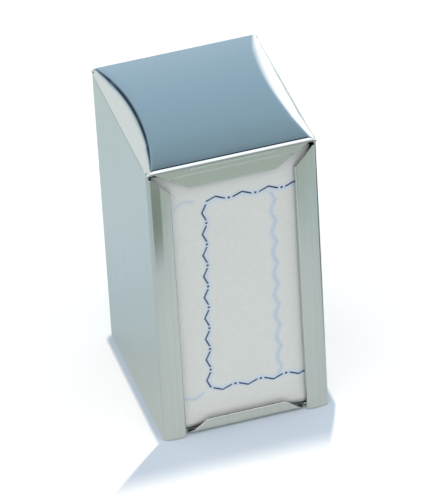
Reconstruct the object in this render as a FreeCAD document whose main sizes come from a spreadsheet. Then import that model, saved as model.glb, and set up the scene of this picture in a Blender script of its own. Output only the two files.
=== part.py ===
"""Two-sided tall-fold napkin dispenser: chromed sheet shell, spring-pressed napkin stacks.

X runs across the width, -Y is the front, +Z is up, and the base stands on z = 0. All sizes are millimetres.
"""

import FreeCAD
import Part
import math
import os

import Sketcher

# Driving dimensions: alias, value, what it is.
DIMENSIONS = [
    ("body_width", 97.0, "outside width across the side panels"),
    ("body_depth", 110.0, "outside depth, front plane to rear plane"),
    ("corner_height", 182.0, "height of the side panels, where the shoulders start"),
    ("dome_rise", 8.5, "height of the dome's middle above the corners"),
    ("edge_rise", 2.0, "height of the dome's front and rear ends above the corners"),
    ("sheet_gauge", 0.8, "thickness of the chromed sheet"),
    ("roll_radius", 3.0, "outside radius of the top's rolled front and rear edges"),
    ("crown_radius", 2.6, "outside radius of the bend along each curved shoulder"),
    ("skirt_depth", 6.0, "depth of the cover's skirt inside the side panels"),
    ("flap_drop", 5.6, "depth of the cover's side flaps at the middle, below the corners"),
    ("flap_end", 0.4, "depth of the side flaps at their ends"),
    ("flap_half_run", 50.0, "half length of the side flaps"),
    ("lip_drop", 1.0, "drop of the rolled edge's lip below the corners"),
    ("lip_inset", 2.8, "distance from the side to each end of the rolled edge's lip"),
    ("flange_width", 13.2, "width of each side flange across the face"),
    ("flange_return", 3.6, "depth of the curl at the flange's inner edge"),
    ("flange_shoulder", 2.2, "set-back of the flange where it leaves the side"),
    ("flange_apex", 8.0, "distance from the side to the flange's most forward line"),
    ("corner_bend", 4.2, "outside radius of the bend from side to flange"),
    ("crown_bend", 14.0, "radius of the flange's shallow crown"),
    ("curl_bend", 1.4, "outside radius of the curl at the flange's inner edge"),
    ("flange_start", 3.0, "drop of the side flanges' upper ends below the corners"),
    ("flange_foot", 1.6, "clearance under the side flanges for the base"),
    ("notch_radius", 1.7, "radius of the relief at each upper corner"),
    ("hanging_drop", 13.0, "drop of the cover's hanging flange below the corners"),
    ("hanging_inset", 23.5, "distance from the side to the hanging flange's lower corners"),
    ("hanging_recess", 0.7, "set-back of the hanging flange behind the rolled edge"),
    ("emboss_rise", 0.5, "height of the panel pressed into the hanging flange"),
    ("floor_radius", 5.0, "corner radius of the base's rim"),
    ("floor_rise", 3.0, "height of the floor panel pressed up inside the base's rim"),
    ("floor_rim", 8.5, "width of the base's rim from the outside to the raised floor"),
    ("floor_flange", 10.0, "height of the base's side flanges"),
    ("tab_height", 9.3, "height of the base's turned-up tabs"),
    ("tab_half_foot", 33.5, "half width of a tab at the floor"),
    ("tab_half_top", 22.5, "half width of a tab at its upper edge"),
    ("tab_bend", 4.8, "outside radius of the tab's bend"),
    ("tab_bead", 0.5, "how far the bead round a tab's edge stands proud"),
    ("inner_gauge", 0.6, "thickness of the followers and spring cups"),
    ("follower_width", 93.0, "width of each follower"),
    ("follower_height", 166.0, "height of each follower"),
    ("follower_depth", 11.0, "depth of a follower's turned edges"),
    ("follower_face", 28.0, "distance from the middle to a follower's pressing face"),
    ("follower_lift", 0.8, "clearance under a follower's lower edge"),
    ("boss_radius", 12.8, "radius of a follower's spring boss"),
    ("boss_height", 2.5, "height of a follower's spring boss"),
    ("partition_height", 175.0, "height of the centre partition's upper edge"),
    ("partition_flange", 10.0, "width of the partition's welded side flanges"),
    ("spring_upper", 126.0, "height of the upper springs' axis"),
    ("spring_lower", 50.0, "height of the lower springs' axis"),
    ("spring_wire", 1.4, "diameter of the spring wire"),
    ("spring_small", 7.4, "coil radius at the partition"),
    ("spring_large", 15.2, "coil radius at the follower"),
    ("spring_turns", 4.0, "number of turns in each spring"),
    ("spring_sides", 14.0, "straight lengths that stand for one turn"),
    ("cup_radius", 9.8, "outside radius of a spring cup"),
    ("cup_height", 2.4, "height of a spring cup"),
    ("rivet_radius", 1.6, "radius of the rivet shanks"),
    ("rivet_head", 3.0, "radius of the rivet heads"),
    ("napkin_width", 91.0, "width of a folded napkin"),
    ("napkin_height", 174.0, "height of a folded napkin"),
    ("napkin_gauge", 1.26, "thickness of a folded napkin under pressure"),
    ("napkin_pitch", 1.32, "spacing of the napkins in a stack"),
    ("napkin_face", 50.6, "distance from the middle to the outer napkin's edges"),
    ("napkin_bulge", 0.9, "how far the outer napkins swell through the mouth"),
    ("stack_count", 14.0, "napkins in each stack behind the outer three"),
]

WORKING_ROOM = 30.0  # how far a cutting shape reaches past the metal
FITTING_GAP = 0.05  # clearance between pieces that only touch

doc = FreeCAD.newDocument("napkin_dispenser")


class Size:
    """A length that carries both its number and the spreadsheet formula behind it."""

    def __init__(self, number, formula=None):
        self.number = float(number)
        self.formula = repr(float(number)) if formula is None else formula

    def _join(self, other, sign, number):
        return Size(number, "(%s %s %s)" % (self.formula, sign, size(other).formula))

    def __add__(self, other):
        return self._join(other, "+", self.number + size(other).number)

    def __sub__(self, other):
        return self._join(other, "-", self.number - size(other).number)

    def __mul__(self, other):
        return self._join(other, "*", self.number * size(other).number)

    def __truediv__(self, other):
        return self._join(other, "/", self.number / size(other).number)

    def __radd__(self, other):
        return size(other) + self

    def __rsub__(self, other):
        return size(other) - self

    def __rmul__(self, other):
        return size(other) * self

    def __neg__(self):
        return size(0) - self


def size(value):
    return value if isinstance(value, Size) else Size(value)


def make_sheet():
    sheet = doc.addObject("Spreadsheet::Sheet", "Sheet")
    for row, (alias, value, meaning) in enumerate(DIMENSIONS, start=1):
        sheet.set("A%d" % row, meaning)
        sheet.set("B%d" % row, str(value))
        sheet.setAlias("B%d" % row, alias)
    doc.recompute()
    return {alias: Size(value, "Sheet." + alias) for alias, value, _ in DIMENSIONS}


D = make_sheet()
HALF_WIDTH = D["body_width"] / 2
HALF_DEPTH = D["body_depth"] / 2
TOP = D["corner_height"]
GAUGE = D["sheet_gauge"]
INSIDE = HALF_WIDTH - GAUGE  # inner face of the side panels
FLOOR = GAUGE + D["floor_rise"]  # upper face of the raised floor


def bind(thing, prop, value):
    thing.setExpression(prop, size(value).formula)


# ---------------------------------------------------------------- sketches and features


def new_body(name):
    body = doc.addObject("PartDesign::Body", name)
    body.Label = name
    return body


def new_sketch(body, plane, name, offset=None):
    """A sketch on one of the body's own origin planes, moved along the plane's normal by offset."""
    sketch = body.newObject("Sketcher::SketchObject", body.Name + "_" + name)
    origin_plane = next(f for f in body.Origin.OriginFeatures if f.Role == plane)
    sketch.AttachmentSupport = (origin_plane, [""])
    sketch.MapMode = "FlatFace"
    if offset is not None:
        bind(sketch, ".AttachmentOffset.Base.z", offset)
    return sketch


def pin_point(sketch, element, end, point):
    """Hold a sketch point at its coordinates, each bound to its formula."""
    for axis, value in zip("XY", point):
        value = size(value)
        if abs(value.number) < 1e-9:
            axis_line = -2 if axis == "X" else -1
            sketch.addConstraint(Sketcher.Constraint("PointOnObject", element, end, axis_line))
            continue
        index = sketch.addConstraint(
            Sketcher.Constraint("Distance" + axis, -1, 1, element, end, value.number)
        )
        sketch.setExpression("Constraints[%d]" % index, value.formula)


def draw_outline(sketch, points, arcs=None):
    """A closed outline of straight sides. arcs maps a side's index to its radius, bulging outwards."""
    arcs = arcs or {}
    count = len(points)
    vectors = [FreeCAD.Vector(size(x).number, size(y).number, 0) for x, y in points]
    area = sum(
        a.x * b.y - b.x * a.y for a, b in zip(vectors, vectors[1:] + vectors[:1])
    )
    ends = []
    for i in range(count):
        start, finish = vectors[i], vectors[(i + 1) % count]
        if i not in arcs:
            element = sketch.addGeometry(Part.LineSegment(start, finish))
            ends.append((element, 1, 2))
            continue
        radius = size(arcs[i])
        along = finish - start
        left = FreeCAD.Vector(-along.y, along.x, 0).normalize()
        if area < 0:
            left = left * -1
        sagitta_base = math.sqrt(radius.number**2 - (along.Length / 2) ** 2)
        centre = (start + finish) * 0.5 + left * sagitta_base
        angle_a = math.atan2(start.y - centre.y, start.x - centre.x)
        angle_b = math.atan2(finish.y - centre.y, finish.x - centre.x)
        circle = Part.Circle(centre, FreeCAD.Vector(0, 0, 1), radius.number)
        if area > 0:
            element = sketch.addGeometry(Part.ArcOfCircle(circle, angle_a, angle_b))
            ends.append((element, 1, 2))
        else:
            element = sketch.addGeometry(Part.ArcOfCircle(circle, angle_b, angle_a))
            ends.append((element, 2, 1))
        index = sketch.addConstraint(Sketcher.Constraint("Radius", element, radius.number))
        sketch.setExpression("Constraints[%d]" % index, radius.formula)
    for i in range(count):
        element, first, _ = ends[i]
        previous, _, last = ends[i - 1]
        sketch.addConstraint(
            Sketcher.Constraint("Coincident", previous, last, element, first)
        )
        pin_point(sketch, element, first, points[i])


def box_outline(x0, y0, x1, y1):
    return [(x0, y0), (x1, y0), (x1, y1), (x0, y1)]


def draw_rounded_box(sketch, x0, y0, x1, y1, radius):
    """A rectangle with rounded corners, from its lower left to its upper right corner."""
    points = [
        (x0 + radius, y0),
        (x1 - radius, y0),
        (x1, y0 + radius),
        (x1, y1 - radius),
        (x1 - radius, y1),
        (x0 + radius, y1),
        (x0, y1 - radius),
        (x0, y0 + radius),
    ]
    draw_outline(sketch, points, {1: radius, 3: radius, 5: radius, 7: radius})


def draw_round(sketch, centre, radius, sides=16):
    """A circle in short straight sides, which is fine enough for the small pieces inside."""
    points = []
    for n in range(sides):
        angle = 2 * math.pi * (n + 0.5) / sides
        across, up = radius * math.cos(angle), radius * math.sin(angle)
        points.append((centre[0] + across, centre[1] + up))
    draw_outline(sketch, points)


def draw_clipped_box(sketch, x0, y0, x1, y1, clip):
    """A box with its corners cut off at 45 degrees."""
    draw_outline(
        sketch,
        [
            (x0 + clip, y0),
            (x1 - clip, y0),
            (x1, y0 + clip),
            (x1, y1 - clip),
            (x1 - clip, y1),
            (x0 + clip, y1),
            (x0, y1 - clip),
            (x0, y0 + clip),
        ],
    )


def folded_strip(path, gauge):
    """The outline of a bent sheet: the path along its outer face, then back along its inner face.

    The inner face lies to the left of the path, at the sheet's gauge.
    """
    flat = [FreeCAD.Vector(size(x).number, size(y).number, 0) for x, y in path]
    inner = []
    for i, (x, y) in enumerate(path):
        normals = []
        if i > 0:
            along = (flat[i] - flat[i - 1]).normalize()
            normals.append(FreeCAD.Vector(-along.y, along.x, 0))
        if i < len(path) - 1:
            along = (flat[i + 1] - flat[i]).normalize()
            normals.append(FreeCAD.Vector(-along.y, along.x, 0))
        mitre = sum(normals[1:], normals[0])
        mitre = mitre * (1 / mitre.dot(normals[0]))
        inner.append((size(x) + gauge * mitre.x, size(y) + gauge * mitre.y))
    return list(path) + inner[::-1]


def pad(body, sketch, length, centred=False, reverse=False):
    feature = body.newObject("PartDesign::Pad", sketch.Name + "_pad")
    feature.Profile = sketch
    bind(feature, "Length", length)
    if centred:
        feature.SideType = "Symmetric"
    feature.Reversed = reverse
    finish(body, feature)
    return feature


def pocket(body, sketch, length=None, reverse=False):
    """A pocket of the given length from its sketch, or through everything both ways."""
    before = body.Shape.Volume
    feature = body.newObject("PartDesign::Pocket", sketch.Name + "_pocket")
    feature.Profile = sketch
    if length is None:
        feature.Type = "Length"
        feature.SideType = "Symmetric"
        feature.Length = 1000
    else:
        bind(feature, "Length", length)
    feature.Reversed = reverse
    finish(body, feature)
    if body.Shape.Volume > before - 1e-3:
        raise RuntimeError(feature.Name + " cuts nothing")
    return feature


def finish(body, feature):
    body.Tip = feature
    doc.recompute()


def edges_where(shape, wanted):
    return ["Edge%d" % n for n, edge in enumerate(shape.Edges, start=1) if wanted(edge)]


def runs_along(edge, axis, spot):
    """Whether an edge is a straight one along an axis (0, 1 or 2) through a spot in the other two."""
    if edge.Curve.TypeId != "Part::GeomLine":
        return False
    first, last = edge.Vertexes[0].Point, edge.Vertexes[-1].Point
    others = [n for n in range(3) if n != axis]
    for point in (first, last):
        for n, value in zip(others, spot):
            if abs(point[n] - size(value).number) > 1e-4:
                return False
    return True


def round_edges(body, names, radius, label):
    base = body.Tip
    feature = body.newObject("PartDesign::Fillet", body.Name + "_" + label)
    feature.Base = (base, names)
    bind(feature, "Radius", radius)
    finish(body, feature)
    if feature.Shape.isNull() or not feature.Shape.isValid():
        raise RuntimeError(feature.Name + " has no valid shape")
    return feature


def break_edges(body, names, width, label):
    """A narrow flat along the edges, for pressed rims whose small rounding needs no more."""
    base = body.Tip
    feature = body.newObject("PartDesign::Chamfer", body.Name + "_" + label)
    feature.Base = (base, names)
    bind(feature, "Size", width)
    finish(body, feature)
    return feature


def round_bends(body, axis, spots, radius, label):
    """Round the straight edges along an axis that pass through the spots."""
    shape = body.Tip.Shape
    names = edges_where(shape, lambda e: any(runs_along(e, axis, s) for s in spots))
    if not names:
        raise RuntimeError(label + " found no edge")
    return round_edges(body, names, radius, label)


# ---------------------------------------------------------------- the shell


def flap_outline(gap, top):
    """The curved lower edge of the cover's side flaps, closed at a height above; given with its radius."""
    half = D["flap_half_run"] + gap
    end = TOP - D["flap_end"] - gap
    bow = D["flap_drop"] - D["flap_end"]
    radius = (half * half + bow * bow) / (bow * 2)
    return [(-half, end), (half, end), (half, top), (-half, top)], {0: radius}


def side_panel(name, side):
    """Flat side with a crowned flange folded in at the front and rear, curled at its inner edge."""

    def across(inset):
        return (HALF_WIDTH - inset) * side

    def along(inset, end):
        return (HALF_DEPTH - inset) * end

    half_path = [
        (D["flange_width"], D["flange_return"]),
        (D["flange_width"], size(0.5)),
        (D["flange_apex"], size(0)),
        (size(0), D["flange_shoulder"]),
    ]
    path = [(across(x), along(y, -side)) for x, y in half_path]
    path += [(across(x), along(y, side)) for x, y in reversed(half_path)]
    outline = folded_strip(path, GAUGE)
    body = new_body(name)
    sketch = new_sketch(body, "XY_Plane", "section")
    draw_outline(sketch, outline)
    pad(body, sketch, TOP - FITTING_GAP)

    inner = outline[len(path) :][::-1]
    bends = [("curl", 1, "curl_bend"), ("crown", 2, "crown_bend"), ("corner", 3, "corner_bend")]
    for label, index, radius in bends:
        mirrored = len(path) - 1 - index
        outer_spots = [path[index], path[mirrored]]
        inner_spots = [inner[index], inner[mirrored]]
        round_bends(body, 2, inner_spots, D[radius] - GAUGE, label + "_inner")
        round_bends(body, 2, outer_spots, D[radius], label + "_outer")

    # The flanges start below the cover's lip, are cut back on a slant, and stop above the base.
    cut = new_sketch(body, "XZ_Plane", "flange_ends")
    upper = [
        (across(GAUGE), TOP - D["flange_start"]),
        (across(D["lip_inset"]), TOP - D["flange_start"]),
        (across(D["flange_width"] + 1), TOP - D["flange_start"] - D["flange_width"]),
        (across(D["flange_width"] + 1), TOP + WORKING_ROOM),
        (across(GAUGE), TOP + WORKING_ROOM),
    ]
    draw_outline(cut, upper)
    pocket(body, cut)
    foot = new_sketch(body, "XZ_Plane", "flange_feet")
    lower = [
        (across(GAUGE), size(-1)),
        (across(D["flange_width"] + 1), size(-1)),
        (across(D["flange_width"] + 1), D["flange_foot"]),
        (across(GAUGE), D["flange_foot"]),
    ]
    draw_outline(foot, lower)
    pocket(body, foot)
    room = new_sketch(body, "YZ_Plane", "flap_room")
    draw_outline(room, *flap_outline(FITTING_GAP, TOP + WORKING_ROOM))
    pocket(body, room)
    return body


def cover_block(name, inset, reach_down):
    """The cover's outer or inner form as a solid: dome, rolled ends, 45 degree facets and crowned shoulders."""
    half_depth = HALF_DEPTH - inset
    half_chord = HALF_DEPTH
    arch = D["dome_rise"] - D["edge_rise"]
    dome_radius = (half_chord * half_chord + arch * arch) / (arch * 2)
    centre_height = TOP + D["dome_rise"] - dome_radius
    radius = dome_radius - inset
    # Height of the inset dome where it meets the inset front plane.
    drop = radius.number - math.sqrt(radius.number**2 - half_depth.number**2)
    edge_height = centre_height + radius - drop
    bottom = TOP - D["skirt_depth"] - reach_down
    body = new_body(name)
    profile = new_sketch(body, "YZ_Plane", "profile")
    draw_outline(
        profile,
        [
            (-half_depth, bottom),
            (half_depth, bottom),
            (half_depth, edge_height),
            (-half_depth, edge_height),
        ],
        {2: radius},
    )
    pad(body, profile, (HALF_WIDTH + WORKING_ROOM / 2) * 2, centred=True)
    ends = [(-half_depth, edge_height), (half_depth, edge_height)]
    round_bends(body, 0, ends, D["roll_radius"] - inset, "rolls")

    facet = new_sketch(body, "XZ_Plane", "facets")
    start = HALF_WIDTH - inset * math.sqrt(2)
    for side in (-1, 1):
        draw_outline(
            facet,
            [
                ((start + WORKING_ROOM) * side, TOP - WORKING_ROOM),
                ((start - WORKING_ROOM) * side, TOP + WORKING_ROOM),
                ((start + WORKING_ROOM) * side, TOP + WORKING_ROOM),
            ],
        )
    pocket(body, facet)

    def on_shoulder(edge):
        gaps = [
            abs(abs(v.Point.x) + v.Point.z - start.number - TOP.number)
            for v in edge.Vertexes
        ]
        middle = edge.valueAt((edge.FirstParameter + edge.LastParameter) / 2)
        on_facet = max(gaps) < 1e-4
        return on_facet and middle.z > bottom.number + 1.5

    if inset.number == 0:
        names = edges_where(body.Tip.Shape, on_shoulder)
        round_edges(body, names, D["crown_radius"], "shoulders")
    return body


def hanging_flange(name, end):
    """The trapezoid flange that hangs behind the rolled edge, with a pressed panel and a folded hem."""
    front = HALF_DEPTH - D["hanging_recess"]
    drop = D["hanging_drop"]
    slope = (D["hanging_inset"] - 6.4) / (drop - 1.4)

    def inset_at(depth):
        return D["hanging_inset"] - (drop - depth) * slope

    def ring(depth_top, depth_low, trim):
        half_top = HALF_WIDTH - inset_at(size(depth_top)) - trim
        half_low = HALF_WIDTH - inset_at(size(depth_low)) - trim
        return [
            (-half_top, TOP - depth_top),
            (-half_low, TOP - depth_low),
            (half_low, TOP - depth_low),
            (half_top, TOP - depth_top),
        ]

    body = new_body(name)
    shapes = [
        ("plate", ring(-0.4, drop, 0), GAUGE, -GAUGE),
        ("panel", ring(4.2, drop - 2.3, 0.6), D["emboss_rise"] + 0.2, size(-0.2)),
        ("hem", ring(drop - 2.6, drop, 0.1), D["emboss_rise"] + 0.4, size(-0.2)),
    ]
    for label, corners, thickness, start in shapes:
        sketch = new_sketch(body, "XZ_Plane", label, (front + start) * -end)
        draw_outline(sketch, corners)
        pad(body, sketch, thickness, reverse=end > 0)
    rise = front + D["emboss_rise"]
    shape = body.Tip.Shape
    bend = ring(4.2, drop - 2.3, 0.6)

    def crosses(edge, low, high):
        """An edge that runs straight out from the flange through one of the panel's upper corners."""
        return any(runs_along(edge, 1, bend[n]) for n in (low, high))

    upper = edges_where(shape, lambda e: crosses(e, 0, 3))
    round_edges(body, upper, size(3.2), "panel_corners")
    shape = body.Tip.Shape

    def on_panel_rim(edge):
        box = edge.BoundBox
        flat = abs(abs(box.YMin) - rise.number) < 1e-4 and abs(abs(box.YMax) - rise.number) < 1e-4
        return flat and box.ZMax > TOP.number - 9

    rim = edges_where(shape, on_panel_rim)
    break_edges(body, rim, D["emboss_rise"] * 0.7, "panel_rim")
    dish = new_sketch(body, "XZ_Plane", "dish", (front - GAUGE) * -end)
    draw_outline(dish, ring(5.4, drop - 3.5, 1.8))
    pocket(body, dish, D["emboss_rise"], reverse=end < 0)
    return body


def top_cover():
    """Domed top with rolled front and rear edges, curved shoulders, hanging flanges and a hidden skirt."""
    skirt = INSIDE - FITTING_GAP
    outer = cover_block("cover_outer", size(0), size(0))
    sides = new_sketch(outer, "XZ_Plane", "sides")
    for side in (-1, 1):
        wide = (HALF_WIDTH + WORKING_ROOM) * side
        draw_outline(
            sides,
            [
                (wide, TOP - WORKING_ROOM),
                (skirt * side, TOP - WORKING_ROOM),
                (skirt * side, TOP),
                (HALF_WIDTH * side, TOP),
                (HALF_WIDTH * side, TOP + WORKING_ROOM),
                (wide, TOP + WORKING_ROOM),
            ],
        )
    pocket(outer, sides)
    # The rolled edge's lip ends below the roll, and its corners are cut away for the side panels' bends.
    lip = new_sketch(outer, "XY_Plane", "lip", TOP - D["lip_drop"])
    corners = new_sketch(outer, "XY_Plane", "corners", TOP - 0.9)
    for end in (-1, 1):
        draw_outline(lip, box_outline(-80, (HALF_DEPTH - 1.6) * end, 80, (HALF_DEPTH + 5) * end))
        for side in (-1, 1):
            near = (HALF_WIDTH - D["lip_inset"]) * side
            far = (HALF_WIDTH + 10) * side
            draw_outline(
                corners, box_outline(near, (HALF_DEPTH - 6) * end, far, (HALF_DEPTH + 5) * end)
            )
    pocket(outer, lip, size(60))
    pocket(outer, corners, size(60))
    # Below each facet a shallow flap with a curved edge comes down flush with the side panel.
    for side, word in ((-1, "left"), (1, "right")):
        flap = new_sketch(outer, "YZ_Plane", word + "_flap", skirt * side)
        draw_outline(flap, *flap_outline(size(0), TOP))
        pad(outer, flap, HALF_WIDTH - skirt, reverse=side < 0)

    inner = cover_block("cover_inner", GAUGE, size(5))
    trim = new_sketch(inner, "XZ_Plane", "sides")
    for side in (-1, 1):
        near = (skirt - GAUGE) * side
        far = (HALF_WIDTH + WORKING_ROOM) * side
        draw_outline(trim, box_outline(near, TOP - WORKING_ROOM, far, TOP + WORKING_ROOM))
    pocket(inner, trim)

    shell = doc.addObject("Part::Cut", "cover_shell")
    shell.Base = outer
    shell.Tool = inner
    whole = doc.addObject("Part::MultiFuse", "cover_whole")
    whole.Shapes = [shell, hanging_flange("front_hanging", -1), hanging_flange("rear_hanging", 1)]
    whole.Refine = True
    reliefs = []
    for number, (side, end) in enumerate([(-1, -1), (1, -1), (-1, 1), (1, 1)]):
        relief = doc.addObject("Part::Cylinder", "relief_%d" % number)
        bind(relief, "Radius", D["notch_radius"])
        relief.Height = 8
        relief.Placement.Rotation = FreeCAD.Rotation(FreeCAD.Vector(1, 0, 0), 90 * end)
        bind(relief, "Placement.Base.x", (HALF_WIDTH - 1.6) * side)
        bind(relief, "Placement.Base.y", (HALF_DEPTH + 2) * end)
        bind(relief, "Placement.Base.z", TOP - 1.5)
        reliefs.append(relief)
    tools = doc.addObject("Part::Compound", "reliefs")
    tools.Links = reliefs
    cover = doc.addObject("Part::Cut", "top_cover")
    cover.Base = whole
    cover.Tool = tools
    cover.Label = "top_cover"
    doc.recompute()
    return cover


def base_plate():
    """Floor with rounded corners, side flanges inside the panels, and a tab folded up in each mouth."""
    body = new_body("base_plate")
    edge = INSIDE - FITTING_GAP
    flange_reach = HALF_DEPTH - 6
    section = new_sketch(body, "XZ_Plane", "section")
    path = [
        (-edge, D["floor_flange"]),
        (-edge, size(0)),
        (edge, size(0)),
        (edge, D["floor_flange"]),
    ]
    draw_outline(section, folded_strip(path, GAUGE))
    pad(body, section, flange_reach * 2, centred=True)
    inner_edge = edge - GAUGE
    round_bends(body, 1, [(-inner_edge, GAUGE), (inner_edge, GAUGE)], GAUGE, "side_bends_inner")
    round_bends(body, 1, [(-edge, 0), (edge, 0)], GAUGE * 2, "side_bends_outer")

    reach = HALF_DEPTH - 0.3
    half_floor = edge - GAUGE * 2
    floor = new_sketch(body, "XY_Plane", "floor")
    draw_outline(floor, box_outline(-half_floor, -reach, half_floor, reach))
    pad(body, floor, GAUGE)
    corners = [(x, y) for x in (-half_floor, half_floor) for y in (-reach, reach)]
    round_bends(body, 2, corners, D["floor_radius"], "floor_corners")

    # The floor is pressed up inside a rim, so the base stands on the rim alone.
    rim = D["floor_rim"]
    slope = 1.2
    shapes = [("raised", FLOOR, 0), ("hollow", D["floor_rise"], GAUGE * 0.6)]
    for label, height, inward in shapes:
        wall = new_sketch(body, "XY_Plane", label)
        far_x = HALF_WIDTH - rim + slope - inward
        far_y = HALF_DEPTH - rim + slope - inward
        draw_rounded_box(wall, -far_x, -far_y, far_x, far_y, size(4))
        feature = pad(body, wall, height) if label == "raised" else pocket(body, wall, height, True)
        feature.TaperAngle = -20
        doc.recompute()

    room = new_sketch(body, "XY_Plane", "tab_room")
    half_foot = D["tab_half_foot"]
    start = HALF_DEPTH - D["tab_bend"] - 0.6
    for end in (-1, 1):
        draw_outline(
            room,
            box_outline(-half_foot - 0.6, start * end, half_foot + 0.6, (HALF_DEPTH + 5) * end),
        )
    pocket(body, room, size(2), reverse=True)

    face = HALF_DEPTH - D["tab_bead"]
    for end in (-1, 1):
        word = "front" if end < 0 else "rear"
        tab = new_sketch(body, "YZ_Plane", word + "_tab")
        path = [(face * end, D["tab_height"]), (face * end, size(0)), (start * end, size(0))]
        draw_outline(tab, folded_strip(path if end < 0 else path[::-1], GAUGE))
        pad(body, tab, half_foot * 2, centred=True)
        inner_face = (face - GAUGE) * end
        round_bends(body, 0, [(inner_face, GAUGE)], D["tab_bend"] - GAUGE, word + "_tab_bend_inner")
        round_bends(body, 0, [(face * end, 0)], D["tab_bend"], word + "_tab_bend_outer")
    foot_height = size(1)
    lean = (half_foot - D["tab_half_top"]) / (D["tab_height"] - foot_height)

    def tab_half_width(height, trim=0):
        return half_foot - (height - foot_height) * lean - trim

    for end in (-1, 1):
        word = "front" if end < 0 else "rear"
        slant = new_sketch(body, "XZ_Plane", word + "_slant", (HALF_DEPTH + 1) * -end)
        for side in (-1, 1):
            draw_outline(
                slant,
                [
                    (half_foot * side, foot_height),
                    ((half_foot + 2) * side, foot_height),
                    ((half_foot + 2) * side, D["tab_height"] + 1),
                    (D["tab_half_top"] * side, D["tab_height"] + 1),
                    (D["tab_half_top"] * side, D["tab_height"]),
                ],
            )
        pocket(body, slant, D["tab_bend"] + 1.6, reverse=end > 0)

    # A bead follows the slanted ends and the upper edge of each tab.
    low = size(3)
    high = D["tab_height"]
    width = size(1.4)
    inner_high = high - width
    run = [
        (tab_half_width(low), low),
        (tab_half_width(high), high),
        (-tab_half_width(high), high),
        (-tab_half_width(low), low),
        (-tab_half_width(low, 1.9), low),
        (-tab_half_width(inner_high, 1.9), inner_high),
        (tab_half_width(inner_high, 1.9), inner_high),
        (tab_half_width(low, 1.9), low),
    ]
    for end in (-1, 1):
        word = "front" if end < 0 else "rear"
        bead = new_sketch(body, "XZ_Plane", word + "_bead", (HALF_DEPTH - 1.1) * -end)
        draw_outline(bead, run)
        pad(body, bead, size(1.1), reverse=end > 0)
        outside = HALF_DEPTH.number

        def on_bead(edge):
            box = edge.BoundBox
            return min(abs(box.YMin * end - outside), abs(box.YMax * end - outside)) < 1e-4

        rim = [n for n in edges_where(body.Tip.Shape, on_bead) if is_level_across(body, n)]
        break_edges(body, rim, D["tab_bead"] * 0.7, word + "_bead_rim")
    return body


def is_level_across(body, name):
    """Whether a named edge of the body's last feature keeps to one depth."""
    box = body.Tip.Shape.getElement(name).BoundBox
    return box.YLength < 1e-4


def centre_partition():
    """Upright sheet across the middle, welded to both side panels by its turned flanges."""
    body = new_body("centre_partition")
    edge = INSIDE - FITTING_GAP
    half = GAUGE / 2
    section = new_sketch(body, "XY_Plane", "section", FLOOR + FITTING_GAP)
    path = [
        (-edge, D["partition_flange"]),
        (-edge, -half),
        (edge, -half),
        (edge, D["partition_flange"]),
    ]
    draw_outline(section, folded_strip(path, GAUGE))
    pad(body, section, D["partition_height"] - FLOOR - FITTING_GAP)
    inner_edge = edge - GAUGE
    round_bends(body, 2, [(-inner_edge, half), (inner_edge, half)], GAUGE, "bends_inner")
    round_bends(body, 2, [(-edge, -half), (edge, -half)], GAUGE * 2, "bends_outer")
    foot = new_sketch(body, "XZ_Plane", "foot")
    for side in (-1, 1):
        near = (edge - GAUGE * 2) * side
        far = (edge + 5) * side
        draw_outline(foot, box_outline(near, size(-5), far, D["floor_flange"] + 1))
    pocket(body, foot)
    holes = new_sketch(body, "XZ_Plane", "rivet_holes")
    for height in ("spring_lower", "spring_upper"):
        draw_round(holes, (size(0), D[height]), D["rivet_radius"] + FITTING_GAP)
    pocket(body, holes)
    return body


def follower(name, end):
    """Pressed tray that pushes the napkins: turned edges, two beads and a boss for each spring."""
    sheet = D["inner_gauge"]
    half = D["follower_width"] / 2
    low = FLOOR + D["follower_lift"]
    high = low + D["follower_height"]
    face = D["follower_face"]
    corner = size(4)
    body = new_body(name)

    def toward_middle(label, distance):
        """A sketch at a distance from the middle plane on this follower's side."""
        return new_sketch(body, "XZ_Plane", label, distance * -end)

    outside = toward_middle("outside", face - D["follower_depth"])
    draw_rounded_box(outside, -half, low, half, high, corner)
    pad(body, outside, D["follower_depth"], reverse=end > 0)

    def on_face(edge):
        box = edge.BoundBox
        return abs(abs(box.YMin) - face.number) < 1e-4 and abs(abs(box.YMax) - face.number) < 1e-4

    break_edges(body, edges_where(body.Tip.Shape, on_face), size(0.5), "face_rim")
    tray = toward_middle("tray", face - D["follower_depth"])
    draw_rounded_box(tray, sheet - half, low + sheet, half - sheet, high - sheet, corner - sheet)
    pocket(body, tray, D["follower_depth"] - sheet, reverse=end < 0)

    back = face - sheet
    raised = toward_middle("raised", back)
    dished = toward_middle("dished", face)
    rib = toward_middle("ribs", back)
    groove = toward_middle("grooves", face)
    for height in ("spring_lower", "spring_upper"):
        draw_round(raised, (size(0), D[height]), D["boss_radius"], 24)
        draw_round(dished, (size(0), D[height]), D["boss_radius"] - sheet, 24)
    for middle in (-31, 31):
        draw_clipped_box(rib, size(middle - 3), low + 20, size(middle + 3), high - 20, 1.8)
        draw_clipped_box(
            groove, size(middle - 2.4), low + 20.6, size(middle + 2.4), high - 20.6, 1.4
        )
    pad(body, raised, D["boss_height"], reverse=end < 0)
    pad(body, rib, size(1.2), reverse=end < 0)
    pocket(body, dished, D["boss_height"], reverse=end > 0)
    pocket(body, groove, size(1.2), reverse=end > 0)
    return body


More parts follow.
